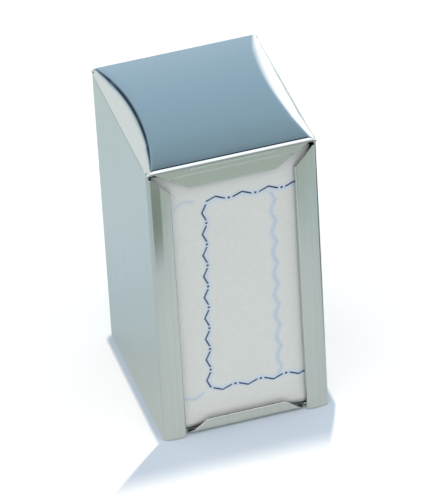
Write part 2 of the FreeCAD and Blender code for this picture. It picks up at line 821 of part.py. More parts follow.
def spring(name, end, height):
    """A conical coil from its cup on the partition to the follower, in straight lengths of hexagonal wire."""
    wire = D["spring_wire"].number / 2
    near = GAUGE.number / 2 + 2 * FITTING_GAP + D["inner_gauge"].number + wire
    far = D["follower_face"].number - D["inner_gauge"].number - 0.3 - wire
    turns = D["spring_turns"].number
    count = int(round(turns * D["spring_sides"].number))
    nodes = []
    for n in range(count + 1):
        share = n / count
        angle = 2 * math.pi * turns * share
        # The first and last turns lie nearly flat and keep their radius, as closed ends do.
        flare = (1 - math.cos(math.pi * share)) / 2
        radius = D["spring_small"].number + (D["spring_large"].number - D["spring_small"].number) * flare
        eased = share - 0.62 * math.sin(2 * math.pi * share) / (2 * math.pi)
        nodes.append(
            FreeCAD.Vector(
                radius * math.cos(angle),
                end * (near + (far - near) * eased),
                D[height].number + radius * math.sin(angle),
            )
        )
    path = doc.addObject("Part::Polygon", name + "_path")
    path.Nodes = nodes
    wire_end = doc.addObject("Part::RegularPolygon", name + "_wire")
    wire_end.Polygon = 6
    bind(wire_end, "Circumradius", D["spring_wire"] / 2)
    start = nodes[1] - nodes[0]
    wire_end.Placement = FreeCAD.Placement(
        nodes[0], FreeCAD.Rotation(FreeCAD.Vector(0, 0, 1), start)
    )
    coil = doc.addObject("Part::Sweep", name)
    coil.Sections = [wire_end]
    coil.Spine = (path, [])
    coil.Solid = True
    coil.Frenet = False
    coil.Transition = "Right corner"
    coil.Label = name
    doc.recompute()
    return coil


def spring_cups(name, end):
    """The shallow cups that hold the springs' small ends, riveted to the partition."""
    cups = []
    near = GAUGE / 2 + FITTING_GAP
    rim = near + D["cup_height"]
    gauge = D["inner_gauge"]
    for label in ("spring_lower", "spring_upper"):
        body = new_body("%s_%s" % (name, label))
        centre = (size(0), D[label])
        wall = new_sketch(body, "XZ_Plane", "wall", near * -end)
        draw_round(wall, centre, D["cup_radius"])
        pad(body, wall, D["cup_height"], reverse=end > 0)
        hollow = new_sketch(body, "XZ_Plane", "hollow", rim * -end)
        draw_round(hollow, centre, D["cup_radius"] - gauge)
        pocket(body, hollow, D["cup_height"] - gauge, reverse=end > 0)
        hole = new_sketch(body, "XZ_Plane", "hole")
        draw_round(hole, centre, D["rivet_radius"] + FITTING_GAP)
        pocket(body, hole)
        cups.append(body)
    return together(name, cups)


def cup_rivets():
    """The rivets through the partition and both its cups, with a low head at each end."""
    rivets = []
    half = GAUGE / 2 + FITTING_GAP * 2 + D["inner_gauge"]
    rise = size(0.9)
    tip = half.number + rise.number
    for label in ("spring_lower", "spring_upper"):
        body = new_body("cup_rivets_" + label)
        centre = (size(0), D[label])
        shank = new_sketch(body, "XZ_Plane", "shank")
        draw_round(shank, centre, D["rivet_radius"])
        pad(body, shank, half * 2, centred=True)
        for end, word in ((-1, "front"), (1, "rear")):
            head = new_sketch(body, "XZ_Plane", word + "_head", half * -end)
            draw_round(head, centre, D["rivet_head"])
            pad(body, head, rise, reverse=end > 0)

        def on_tip(edge):
            box = edge.BoundBox
            return abs(abs(box.YMin) - tip) < 1e-4 and abs(abs(box.YMax) - tip) < 1e-4

        break_edges(body, edges_where(body.Tip.Shape, on_tip), size(0.7), "crowns")
        rivets.append(body)
    return together("cup_rivets", rivets)


def together(name, things):
    group = doc.addObject("Part::Compound", name)
    group.Links = things
    group.Label = name
    doc.recompute()
    return group


def napkin(name, end, place, bulge=None):
    """One folded napkin, place counting back from the mouth; an outer one swells forward."""
    half = D["napkin_width"] / 2
    face = D["napkin_face"] - D["napkin_pitch"] * place
    back = face - D["napkin_gauge"]
    body = new_body(name)
    sketch = new_sketch(body, "XY_Plane", "plan", FLOOR + FITTING_GAP * 2)
    arcs = {}
    if bulge is not None:
        arcs = {2: (half * half + bulge * bulge) / (bulge * 2)}
    outline = [(-half, back * end), (half, back * end), (half, face * end), (-half, face * end)]
    draw_outline(sketch, outline, arcs)
    pad(body, sketch, D["napkin_height"])
    return body


def napkins(word, end):
    outer = napkin(word + "_outer_napkin", end, 0, D["napkin_bulge"])
    second = napkin(word + "_second_napkin", end, 1)
    third = napkin(word + "_third_napkin", end, 2)
    layers = [
        napkin("%s_layer_%d" % (word, n + 1), end, n + 3) for n in range(int(D["stack_count"].number))
    ]
    return [outer, second, third, together(word + "_napkin_stack", layers)]


def build():
    pieces = [
        top_cover(),
        side_panel("left_side_panel", -1),
        side_panel("right_side_panel", 1),
        base_plate(),
        centre_partition(),
        cup_rivets(),
    ]
    for word, end in (("front", -1), ("rear", 1)):
        pieces.append(follower(word + "_follower", end))
        pieces.append(spring_cups(word + "_spring_cups", end))
        pieces.append(spring(word + "_upper_spring", end, "spring_upper"))
        pieces.append(spring(word + "_lower_spring", end, "spring_lower"))
        pieces.extend(napkins(word, end))
    doc.recompute()
    return pieces


def check_and_export(pieces):
    for thing in doc.Objects:
        if "Invalid" in thing.State or "Error" in thing.State:
            raise RuntimeError("%s: %s" % (thing.Name, thing.getStatusString()))
    os.makedirs("parts", exist_ok=True)
    for piece in pieces:
        shape = piece.Shape
        if shape.isNull() or not shape.isValid():
            raise RuntimeError(piece.Label + " has no valid shape")
        if not shape.Solids:
            raise RuntimeError(piece.Label + " has no solid")
        shape.exportStep("parts/%s.step" % piece.Label)
        box = shape.BoundBox
        spans = "x %.2f..%.2f y %.2f..%.2f z %.2f..%.2f" % (
            box.XMin, box.XMax, box.YMin, box.YMax, box.ZMin, box.ZMax
        )
        print("%-20s solids %2d volume %9.1f %s" % (piece.Label, len(shape.Solids), shape.Volume, spans))


check_and_export(build())
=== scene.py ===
"""Looks of a two-sided tall-fold napkin dispenser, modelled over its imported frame.

X runs across the width, -Y is the front and +Z is up. All lengths are metres.
"""

import math

import bmesh
import bpy
from bmesh.types import BMEdge, BMFace, BMVert
from bpy.props import FloatProperty, FloatVectorProperty, IntProperty, PointerProperty
from mathutils import Matrix, Vector, noise


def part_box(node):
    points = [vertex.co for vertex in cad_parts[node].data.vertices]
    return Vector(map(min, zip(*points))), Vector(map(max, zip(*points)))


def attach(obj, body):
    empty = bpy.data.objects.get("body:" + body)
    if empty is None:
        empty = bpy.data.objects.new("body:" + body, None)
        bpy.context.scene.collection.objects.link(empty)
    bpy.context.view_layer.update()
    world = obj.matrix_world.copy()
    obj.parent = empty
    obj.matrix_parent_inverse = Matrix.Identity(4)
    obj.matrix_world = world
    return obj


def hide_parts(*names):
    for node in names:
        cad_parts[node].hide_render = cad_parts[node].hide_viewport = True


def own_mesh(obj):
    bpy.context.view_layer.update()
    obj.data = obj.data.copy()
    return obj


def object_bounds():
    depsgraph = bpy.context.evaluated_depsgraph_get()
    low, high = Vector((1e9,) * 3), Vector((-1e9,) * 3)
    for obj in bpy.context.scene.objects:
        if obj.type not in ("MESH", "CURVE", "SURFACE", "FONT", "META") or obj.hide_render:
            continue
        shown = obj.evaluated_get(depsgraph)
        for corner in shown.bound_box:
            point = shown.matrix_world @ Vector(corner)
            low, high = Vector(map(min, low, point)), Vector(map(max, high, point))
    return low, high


bl_info = {
    "name": "Napkin Dispenser Pieces",
    "version": (1, 0, 0),
    "blender": (4, 5, 0),
    "location": "3D View > Sidebar > Dispenser",
    "description": "Models a chromed, spring-fed napkin dispenser over its packed frame and stages it",
    "category": "Object",
}

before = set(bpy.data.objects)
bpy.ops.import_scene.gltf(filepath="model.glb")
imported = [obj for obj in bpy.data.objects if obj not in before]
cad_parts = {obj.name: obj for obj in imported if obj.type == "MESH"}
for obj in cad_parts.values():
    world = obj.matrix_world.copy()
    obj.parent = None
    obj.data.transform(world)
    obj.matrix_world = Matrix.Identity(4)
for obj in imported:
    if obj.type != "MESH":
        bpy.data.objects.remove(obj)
CAD_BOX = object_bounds()
COVER_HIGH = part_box("top_cover")[1]
PANEL_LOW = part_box("left_side_panel")[0]
ENDS = {"front": -1, "rear": 1}
FITTING_GAP = 0.00005  # clearance between pieces that only touch
MERGE = 1e-6  # points closer than this are one
TAB_ROOM = 0.0006  # room in the base round the foot of a tab
TAB_FOOT = 0.001  # height at which a tab's ends start to slant
PAINTS = {}
FINISH = {}


def distance(name, description, default):
    return FloatProperty(
        name=name, description=description, default=default, subtype="DISTANCE", unit="LENGTH",
        precision=5,
    )


def turn(name, description, degrees):
    angle = math.radians(degrees)
    return FloatProperty(
        name=name, description=description, default=angle, subtype="ANGLE", unit="ROTATION"
    )


def colour(name, description, default):
    return FloatVectorProperty(
        name=name, description=description, default=default, size=3, min=0, max=1, subtype="COLOR"
    )


class ShellSizes(bpy.types.PropertyGroup):
    """Sizes of the chromed sheet shell."""

    half_width: distance("Half width", "Middle to the outside of a side panel", -PANEL_LOW.x)
    half_depth: distance("Half depth", "Middle to the front plane", COVER_HIGH.y)
    corner_height: distance("Corner height", "Base to the upper edge of the side panels", 0.182)
    dome_height: distance("Dome height", "Base to the middle of the dome", COVER_HIGH.z)
    edge_rise: distance("Edge rise", "Rise of the dome's ends above the corners", 0.002)
    gauge: distance("Sheet gauge", "Thickness of the chromed sheet", 0.0008)
    roll: distance("Roll radius", "Outside radius of the top's rolled edges", 0.003)
    curl_under: turn("Curl under", "Turn of the rolled edges below their most forward line", 14.0)
    crown: distance("Shoulder radius", "Outside radius of the bend along each shoulder", 0.0120)
    flap_bend: distance("Flap bend", "Radius of the soft bend from facet to side flap", 0.004)
    skirt: distance("Skirt depth", "Depth of the cover's skirt inside the side panels", 0.006)
    flap_drop: distance("Flap drop", "Depth of the cover's side flaps at their middle", 0.0056)
    flap_run: distance("Flap run", "Half length of the cover's side flaps", 0.050)
    lip_inset: distance("Lip inset", "Side to each end of the rolled edge's lip", 0.0028)
    flange_width: distance("Flange width", "Width of a side flange across the face", 0.0132)
    flange_return: distance("Flange return", "Depth of the curl at the flange's inner edge", 0.0036)
    flange_apex: distance("Flange apex", "Side to the flange's most forward line", 0.008)
    flange_shoulder: distance("Flange set-back", "Set-back of the flange at the side", 0.0010)
    corner_bend: distance("Corner bend", "Outside radius of the bend from side to flange", 0.0026)
    crown_bend: distance("Crown bend", "Radius of the flange's shallow crown", 0.014)
    curl_bend: distance("Curl bend", "Outside radius of the flange's curl", 0.0014)
    flange_start: distance("Flange start", "Drop of the side flanges' upper ends", 0.003)
    flange_foot: distance("Flange foot", "Clearance under the side flanges", 0.0004)
    hanging_drop: distance("Hanging drop", "Drop of the hanging flange below the corners", 0.013)
    hanging_inset: distance("Hanging inset", "Side to the hanging flange's lower corners", 0.0235)
    hanging_recess: distance("Hanging recess", "Set-back of the hanging flange", 0.0007)
    emboss: distance("Embossing", "Height of the pressed panels and beads", 0.0005)


class BaseSizes(bpy.types.PropertyGroup):
    """Sizes of the base plate and its tabs."""

    corner: distance("Corner radius", "Radius of the rim's corners", 0.005)
    rim: distance("Rim width", "Outside of the base to the raised floor", 0.0085)
    rise: distance("Floor rise", "Height of the floor pressed up inside the rim", 0.003)
    side_height: distance("Side height", "Height of the base's side flanges", 0.010)
    tab_height: distance("Tab height", "Height of a turned-up tab", 0.0093)
    tab_foot: distance("Tab foot", "Half width of a tab at the floor", 0.0335)
    tab_top: distance("Tab top", "Half width of a tab at its upper edge", 0.0225)
    tab_bend: distance("Tab bend", "Outside radius of a tab's bend", 0.0048)


class SpringSizes(bpy.types.PropertyGroup):
    """Sizes of the conical springs."""

    wire: distance("Wire", "Diameter of the spring wire", 0.0014)
    small: distance("Small radius", "Coil radius at the partition", 0.0074)
    large: distance("Large radius", "Coil radius at the follower", 0.0152)
    turns: IntProperty(name="Turns", description="Turns in each spring", default=4, min=2, max=9)
    upper: distance("Upper height", "Height of the upper springs' axis", 0.126)
    lower: distance("Lower height", "Height of the lower springs' axis", 0.050)


class NapkinSizes(bpy.types.PropertyGroup):
    """Sizes of the folded napkins and of the printed border."""

    width: distance("Width", "Width of a folded napkin", 0.091)
    height: distance("Height", "Height of a folded napkin", 0.174)
    gauge: distance("Thickness", "Thickness of a folded napkin under pressure", 0.00126)
    pitch: distance("Spacing", "Spacing of the napkins in a stack", 0.00132)
    face: distance("Face", "Middle to the outer napkin's edges", 0.0506)
    bulge: distance("Swell", "How far the outer napkin swells through the mouth", 0.0009)
    plies: IntProperty(name="Plies", description="Layers in a folded napkin", default=4, min=2, max=8)
    stack: IntProperty(
        name="Stack", description="Napkins behind the outer three", default=14, min=1, max=40
    )


class Finishes(bpy.types.PropertyGroup):
    """Colours of the dispenser's finishes."""

    chrome: colour("Chrome", "Bright chromed sheet", (0.56, 0.59, 0.60))
    # Painted shade: the shell's inner side is nearly black, far darker than plain steel, standing in
    # for the deep shade inside the box and in the mouths.
    inner: colour("Inner side", "Unpolished inner side of the shell", (0.045, 0.048, 0.050))
    steel: colour("Plain steel", "Unpolished inner sheet", (0.50, 0.50, 0.49))
    cup_steel: colour("Cup steel", "Zinc-plated spring cups", (0.56, 0.56, 0.53))
    wire: colour("Spring wire", "Drawn spring wire", (0.33, 0.33, 0.34))
    paper: colour("Paper", "Napkin paper", (0.735, 0.728, 0.725))
    print_top: colour("Upper print", "Ink of the border's upper row and column", (0.010, 0.036, 0.105))
    print_low: colour("Lower print", "Ink of the border's lower row", (0.008, 0.042, 0.150))


class StageSizes(bpy.types.PropertyGroup):
    """Camera and floor."""

    azimuth: turn("Azimuth", "Camera's turn to the left of straight ahead", -15.08)
    elevation: turn("Elevation", "Camera's height above level", 36.01)
    roll: turn("Roll", "Camera's turn about its own line of sight", -3.465)
    reach: distance("Distance", "Camera to the middle of the object", 3.271)
    lens: FloatProperty(
        name="Focal length", description="Lens in millimetres", default=477.85, unit="CAMERA"
    )
    aside: distance("Aside", "Camera's offset to the right", 0.0051)
    above: distance("Above", "Camera's offset upwards", -0.00582)


# ---------------------------------------------------------------- shader maths


def maths_operator(kind, swapped=False):
    def apply(self, *other):
        return self.bench.maths(kind, *((*other, self) if swapped else (self, *other)))

    return apply


class Socket:
    """A node output that works in Python expressions: every operator adds one Math node."""

    def __init__(self, bench, output):
        self.bench, self.output = bench, output

    def __getitem__(self, name):
        return Socket(self.bench, self.output.node.outputs[name])

    __add__, __radd__ = maths_operator("ADD"), maths_operator("ADD", True)
    __sub__, __rsub__ = maths_operator("SUBTRACT"), maths_operator("SUBTRACT", True)
    __mul__, __rmul__ = maths_operator("MULTIPLY"), maths_operator("MULTIPLY", True)
    __gt__, __lt__ = maths_operator("GREATER_THAN"), maths_operator("LESS_THAN")
    __truediv__ = maths_operator("DIVIDE")
    __abs__ = maths_operator("ABSOLUTE")


class Bench:
    """Adds and links the nodes of one material or world."""

    def __init__(self, tree):
        self.tree = tree
        tree.nodes.clear()

    def add(self, kind, settings=None, **values):
        """A node of a kind with its settings made first, then its sockets' values or links.

        A socket is named by its identifier with underscores for spaces, or by in0, in1 and so on.
        """
        node = self.tree.nodes.new(kind)
        for name, value in (settings or {}).items():
            if name == "stops":
                ramp = node.color_ramp
                while len(ramp.elements) < len(value):
                    ramp.elements.new(1.0)
                for stop, (place, shade) in zip(ramp.elements, value):
                    stop.position, stop.color = place, (*shade, 1.0)
            else:
                setattr(node, name, value)
        for name, value in values.items():
            numbered = name[:2] == "in" and name[2:].isdigit()
            socket = node.inputs[int(name[2:]) if numbered else name.replace("_", " ")]
            if isinstance(value, Socket):
                self.tree.links.new(value.output, socket)
            elif socket.type == "RGBA" and len(value) == 3:
                socket.default_value = (*value, 1.0)
            else:
                socket.default_value = value
        return Socket(self, node.outputs[0]) if node.outputs else None

    def maths(self, operation, *values):
        inputs = {"in%d" % n: value for n, value in enumerate(values)}
        return self.add("ShaderNodeMath", {"operation": operation}, **inputs)

    def parts(self, vector):
        """The three components of a vector."""
        apart = self.add("ShaderNodeSeparateXYZ", Vector=vector)
        return [apart[axis] for axis in "XYZ"]

    def far(self, x, y, z=None):
        """Length of a vector given by its components."""
        square = x * x + y * y
        return self.maths("SQRT", square if z is None else square + z * z)

    def between(self, value, low, high, to_low=0.0, to_high=1.0):
        """A value eased from one range to another, held at its ends."""
        return self.add(
            "ShaderNodeMapRange",
            {"interpolation_type": "SMOOTHSTEP"},
            Value=value, From_Min=low, From_Max=high, To_Min=to_low, To_Max=to_high,
        )

    def fading(self, value, low, high):
        """One below a range, eased to nothing above it."""
        return self.between(value, low, high, 1.0, 0.0)

    def mix(self, factor, first, second):
        """One colour over another; in0, in6 and in7 are the colour sockets of the node."""
        settings = {"data_type": "RGBA", "clamp_factor": True}
        node = self.add("ShaderNodeMix", settings, in0=factor, in6=first, in7=second)
        return Socket(self, node.output.node.outputs[2])

    def blend(self, factor, first, second):
        """One shader over another."""
        return self.add("ShaderNodeMixShader", in0=factor, in1=first, in2=second)

    def noise(self, where, scale, detail=2.0, roughness=0.5, distortion=0.0):
        return self.add(
            "ShaderNodeTexNoise",
            Vector=where, Scale=scale, Detail=detail, Roughness=roughness, Distortion=distortion,
        )

    def streaks(self, where, stretch, *noise):
        """Noise scaled differently along each axis, for streaks and grain."""
        return self.noise(self.add("ShaderNodeMapping", Vector=where, Scale=stretch), *noise)

    def bump(self, height, strength, reach, below=None):
        links = {"Height": height, "Strength": strength, "Distance": reach}
        if below is not None:
            links["Normal"] = below
        return self.add("ShaderNodeBump", **links)

    def surface(self, **values):
        shader = self.add("ShaderNodeBsdfPrincipled", **values)
        self.add("ShaderNodeOutputMaterial", Surface=shader)


def new_finish(name):
    """A material, its bench and the coordinates on the object in metres."""
    material = bpy.data.materials.new(name)
    material.use_nodes = True
    bench = Bench(material.node_tree)
    return material, bench, bench.add("ShaderNodeTexCoord")["Object"]


def dimmed(tint, kept):
    return [kept * c for c in tint]


def chromed_sheet():
    """Polished chrome over rolled sheet: faint waves, hairline scratches, wiped smears, a few pits, and
    darker rolling lines, partly grain and partly painted reflection streaks.
    """
    material, bench, where = new_finish("chromed_sheet")
    waves = bench.noise(where, 34.0, 1.0, 0.4)
    hairlines = bench.streaks(where, (900.0, 900.0, 30.0), 3.0, 3.0, 0.7)
    cross = bench.streaks(where, (40.0, 700.0, 1100.0), 3.0, 2.0, 0.6)
    smears = bench.noise(where, 55.0, 4.0, 0.62, 0.6)
    pits = bench.add("ShaderNodeTexVoronoi", {"feature": "DISTANCE_TO_EDGE"}, Vector=where, Scale=260.0)
    specks = bench.noise(where, 1900.0, 1.0)
    worn = bench.between(smears, 0.45, 0.75)
    scratched = bench.between(hairlines, 0.66, 0.74) + bench.between(cross, 0.70, 0.77)
    rolling_and_reflection_streaks = bench.streaks(where, (600.0, 600.0, 5.0), 1.0, 2.0, 0.6)
    chrome = PAINTS["chrome"]
    base = bench.mix(worn * 0.22, chrome, dimmed(chrome, 0.93))
    # Painted reflection streaks: darker rolling lines, partly the sheet's grain and partly standing in
    # for reflected streaks, run up the sides and fade out below the top.
    rolled = bench.between(rolling_and_reflection_streaks, 0.45, 0.72) * bench.fading(bench.parts(where)[2], 0.145, 0.172)
    base = bench.mix(rolled * 0.36, base, dimmed(chrome, 0.86))
    rough = 0.055 + worn * 0.06 + scratched * 0.05 + bench.between(specks, 0.72, 0.80) * 0.12
    swell = bench.bump(waves, 0.10, 0.0012)
    fine = bench.bump(hairlines * 0.5 + pits * 0.2, 0.02, 0.00002, swell)
    bench.surface(Base_Color=base, Metallic=1.0, Roughness=rough, Normal=fine)
    return material


def plain_sheet(name, tint, grain):
    """Mill-finished or plated sheet: fine grain along one direction, blotches, small scuffs."""
    material, bench, where = new_finish(name)
    lines = bench.streaks(where, grain, 2.5, 4.0, 0.7)
    blotches = bench.noise(where, 70.0, 4.0, 0.6)
    scuffs = bench.streaks(where, (90.0, 260.0, 60.0), 2.0, 5.0, 0.75, 1.2)
    dull = bench.between(blotches, 0.35, 0.7)
    base = bench.mix(dull, tint, dimmed(tint, 0.82))
    base = bench.mix(bench.between(lines, 0.3, 0.75) * 0.35, base, dimmed(tint, 0.7))
    rough = 0.30 + dull * 0.12 + bench.between(scuffs, 0.6, 0.8) * 0.15
    skin = bench.bump(lines * 0.6 + blotches * 0.4, 0.12, 0.00006)
    bench.surface(Base_Color=base, Metallic=1.0, Roughness=rough, Normal=skin)
    return material


def paper_finish(name, printed):
    """Soft tissue: crossed fibres, a felt-like tooth, faint creping and, if printed, a border."""
    material, bench, where = new_finish(name)
    cloud = bench.noise(where, 420.0, 5.0, 0.62)
    fibres = bench.streaks(where, (700.0, 700.0, 2400.0), 1.0, 4.0, 0.7, 1.4)
    strands = bench.streaks(where, (2600.0, 900.0, 500.0), 1.0, 3.0, 0.7, 2.0)
    creping = bench.add(
        "ShaderNodeTexWave",
        {"bands_direction": "Z"},
        Vector=where, Scale=420.0, Distortion=3.5, Detail=2.0, Detail_Scale=1.4,
    )
    shade = bench.between(cloud, 0.3, 0.7, 0.0, 0.5)
    base = bench.mix(shade, PAINTS["paper"], dimmed(PAINTS["paper"], 0.93))
    if printed:
        base = border_print(bench, base, cloud)
    tooth = fibres * 0.5 + strands * 0.3 + creping * 0.12 + cloud * 0.3
    skin = bench.bump(tooth, 0.35, 0.00012)
    rough = 0.86 + cloud * 0.12
    bench.surface(
        Base_Color=base, Roughness=rough, Normal=skin, Specular_IOR_Level=0.25, Sheen_Weight=0.15,
        Sheen_Roughness=0.6,
    )
    return material


def border_print(bench, base, cloud):
    """A border of open chevrons and dots, printed slightly askew and soft at its edges.

    Everything is in millimetres across and down the napkin's face, from its upper left.
    """
    across, down, _ = bench.parts(bench.add("ShaderNodeUVMap", {"uv_map": "napkin_face"}))
    chevron, rise, stroke_width = 11.0, 2.4, 1.08
    dot_inside, dot_outside = 0.58, 0.95
    halo_inside, halo_outside, halo_strength = 0.6, 3.2, 0.50
    margin = 0.6

    def run(start, towards, outward, count, period, ink, strength, blur=0.0):
        """Chevrons and dots along a line, pointing outward."""
        length = math.dist(start, towards)
        ux, uy = (towards[0] - start[0]) / length, (towards[1] - start[1]) / length
        x, y = across - start[0], down - start[1]
        along = x * ux + y * uy
        out = (x * -uy + y * ux) * outward
        step = bench.maths("PINGPONG", along - chevron / 2 + period * 8, period / 2)
        rising = rise * (1 - step / (chevron / 2))
        stroke = 1 - bench.between(abs(out - rising), stroke_width * 0.36, stroke_width * 0.66 + blur)
        stroke = stroke * (1 - bench.between(step, chevron / 2 - 0.2, chevron / 2 + 0.1 + blur))
        dot = 1 - bench.between(bench.far(period / 2 - step, out), dot_inside, dot_outside + blur)
        whole = bench.maths("MAXIMUM", stroke, dot)
        limit = (along > -margin) * (along < (count - 1) * period + chevron + margin)
        halo = 1 - bench.between(abs(out - rising * 0.6), halo_inside, halo_outside)
        return whole * limit * strength, halo * limit * strength, ink

    soft = bench.between(cloud, 0.25, 0.6, 0.80, 1.0)
    upper, lower, through = PAINTS["print_top"], PAINTS["print_low"], (0.30, 0.42, 0.66)
    runs = [
        # What shows through from the folded ply behind.
        run((70.2, 30.0), (69.0, 152.0), -1, 9, 14.3, through, 0.34, 1.3),
        run((15.0, 28.0), (26.0, 25.0), -1, 1, 14.3, through, 0.22, 1.0),
        run((14.5, 158.5), (30.0, 155.5), 1, 1, 14.9, through, 0.30, 1.0),
        # The border itself: upper row, column and lower row.
        run((33.2, 26.8), (88.8, 28.8), -1, 4, 15.2, upper, 1.0),
        run((33.1, 28.6), (29.7, 153.2), 1, 9, 14.3, upper, 0.92),
        run((30.9, 154.3), (85.8, 155.7), 1, 4, 14.9, lower, 1.0),
    ]
    for mask, halo, ink in runs:
        base = bench.mix(halo * halo_strength, base, (0.50, 0.62, 0.84))
        base = bench.mix(mask * soft, base, ink)
    return base


def drawn_wire():
    """Drawn steel wire: fine lines and a film of oil."""
    material, bench, where = new_finish("spring_wire")
    draw = bench.streaks(where, (1500.0, 400.0, 1500.0), 1.0, 4.0, 0.7)
    oil = bench.noise(where, 240.0, 3.0, 0.6)
    base = bench.mix(bench.between(oil, 0.4, 0.7), PAINTS["wire"], dimmed(PAINTS["wire"], 0.6))
    rough = 0.26 + bench.between(draw, 0.3, 0.8) * 0.18
    skin = bench.bump(draw, 0.2, 0.00005)
    bench.surface(Base_Color=base, Metallic=1.0, Roughness=rough, Normal=skin)
    return material


def mix_finishes(scene):
    """Make every finish once, from the colours in the sidebar."""
    colours = scene.dispenser_finishes
    for name in Finishes.__annotations__:
        PAINTS[name] = tuple(getattr(colours, name))
    FINISH["chromed_sheet"] = chromed_sheet()
    sheets = (
        ("plain_steel_sheet", "steel", (900.0, 900.0, 25.0)),
        # The inner sheet's near-black colour is painted shade for the inside of the box.
        ("dark_inner_sheet", "inner", (90.0, 90.0, 90.0)),
        ("spring_seat_steel", "cup_steel", (400.0, 60.0, 400.0)),
    )
    for name, tint, grain in sheets:
        FINISH[name] = plain_sheet(name, PAINTS[tint], grain)
    FINISH["spring_wire"] = drawn_wire()
    FINISH["napkin_paper"] = paper_finish("napkin_paper", False)
    FINISH["printed_paper"] = paper_finish("printed_paper", True)


# ---------------------------------------------------------------- mesh helpers


def only(kind, geom):
    return [g for g in geom if isinstance(g, kind)]


def middle(face):
    return face.calc_center_median()


def flat_face(bm, points):
    return bm.faces.new([bm.verts.new(p) for p in points])


def grown(bm, face, by):
    """Make a block of a face by pushing a copy of it along a vector; gives the copy."""
    made = bmesh.ops.extrude_face_region(bm, geom=[face])["geom"]
    bmesh.ops.translate(bm, verts=only(BMVert, made), vec=by)
    return only(BMFace, made)[0]


def rounded(bm, geom, offset, segments, affect="EDGES"):
    """Round edges or corners, starting at an offset from them."""
    bmesh.ops.bevel(
        bm, geom=geom, offset=offset, offset_type="OFFSET", segments=segments, profile=0.5,
        affect=affect, material=-1,
    )


def chain(bm, points):
    """A line of vertices and edges, to be extruded."""
    verts = [bm.verts.new(p) for p in points]
    return verts, [bm.edges.new(pair) for pair in zip(verts, verts[1:])]


def swept(bm, edges, by):
    """Extrude edges along a vector; gives the new faces and the far edges."""
    made = bmesh.ops.extrude_edge_only(bm, edges=edges)["geom"]
    bmesh.ops.translate(bm, verts=only(BMVert, made), vec=by)
    faces, start = only(BMFace, made), set(edges)
    far = [
        e
        for e in only(BMEdge, made)
        if e not in start and len(e.link_faces) == 1 and e.link_faces[0] in faces
    ]
    return faces, far


def lies(edge, axis, spot, slack=2e-5):
    """Whether an edge runs along an axis (0, 1 or 2) through a spot in the other two."""
    others = [n for n in range(3) if n != axis]
    return all(abs(v.co[n] - s) < slack for v in edge.verts for n, s in zip(others, spot))


def bend(bm, axis, spot, radius, angle, segments):
    """Round the edges along an axis through a spot; angle is the turn between their faces."""
    edges = [e for e in bm.edges if lies(e, axis, spot)]
    if not edges:
        raise RuntimeError("no edge to bend at %s" % (spot,))
    rounded(bm, edges, radius * math.tan(angle / 2), segments)


def trim(bm, faces, through, outward):
    """Cut faces by a plane and take away what lies outward of it; gives the faces that stay."""
    geom = set(faces)
    for face in faces:
        geom.update(face.edges)
        geom.update(face.verts)
    kept = bmesh.ops.bisect_plane(
        bm, geom=list(geom), dist=1e-7, plane_co=through, plane_no=outward, clear_outer=True
    )["geom"]
    return only(BMFace, kept)


def split(bm, through, outward):
    """Cut every face by a plane and keep both halves."""
    geom = bm.verts[:] + bm.edges[:] + bm.faces[:]
    bmesh.ops.bisect_plane(bm, geom=geom, dist=1e-7, plane_co=through, plane_no=outward)


def turn_out(faces, inside):
    """Point the faces of an open sheet away from a point inside the object."""
    lean = sum(f.normal.dot(middle(f) - inside) * f.calc_area() for f in faces)
    if lean < 0:
        for face in faces:
            face.normal_flip()


def made_piece(name, bm, body, finishes, node, crease=35.0):
    """Turn a bmesh into a smooth-shaded piece that rides on a body and stands for a CAD node."""
    mesh = bpy.data.meshes.new(name)
    bm.to_mesh(mesh)
    bm.free()
    mesh.shade_smooth()
    mesh.set_sharp_from_angle(angle=math.radians(crease))
    piece = bpy.data.objects.new(name, mesh)
    bpy.context.scene.collection.objects.link(piece)
    for finish in finishes:
        mesh.materials.append(FINISH[finish])
    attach(piece, body)
    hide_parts(node)
    return piece


def shell_piece(name, bm, node, crease=35.0):
    """A chromed piece of the housing."""
    return made_piece(name, bm, "housing", ["chromed_sheet"], node, crease)


def thicken(piece, gauge, edge=0.00012):
    """Give a sheet its gauge inwards with an unpolished inner side painted nearly black as shade, and
    break its cut edges.
    """
    wall = piece.modifiers.new("Gauge", "SOLIDIFY")
    wall.thickness = gauge
    wall.offset = -1.0
    wall.use_even_offset = True
    # The inner side takes the near-black finish: painted shade for the inside of the box.
    piece.data.materials.append(FINISH["dark_inner_sheet"])
    wall.material_offset = 1
    soften(piece, edge)


def soften(piece, edge, segments=2):
    """Break the sharp edges and keep the flats level in shading."""
    worn = piece.modifiers.new("Cut edges", "BEVEL")
    worn.width = edge
    worn.segments = segments
    worn.limit_method = "ANGLE"
    worn.angle_limit = math.radians(50)
    worn.use_clamp_overlap = True
    level = piece.modifiers.new("Level flats", "WEIGHTED_NORMAL")
    level.keep_sharp = False
    level.weight = 60


# ---------------------------------------------------------------- the shell


def dome_profile(shell):
    """Radius and centre height of the dome, and the rolled edge's centre."""
    arch = shell.dome_height - shell.corner_height - shell.edge_rise
    radius = (shell.half_depth**2 + arch**2) / (2 * arch)
    centre = shell.dome_height - radius
    roll_y = shell.half_depth - shell.roll
    roll_z = centre + math.sqrt((radius - shell.roll) ** 2 - roll_y**2)
    return radius, centre, roll_y, roll_z


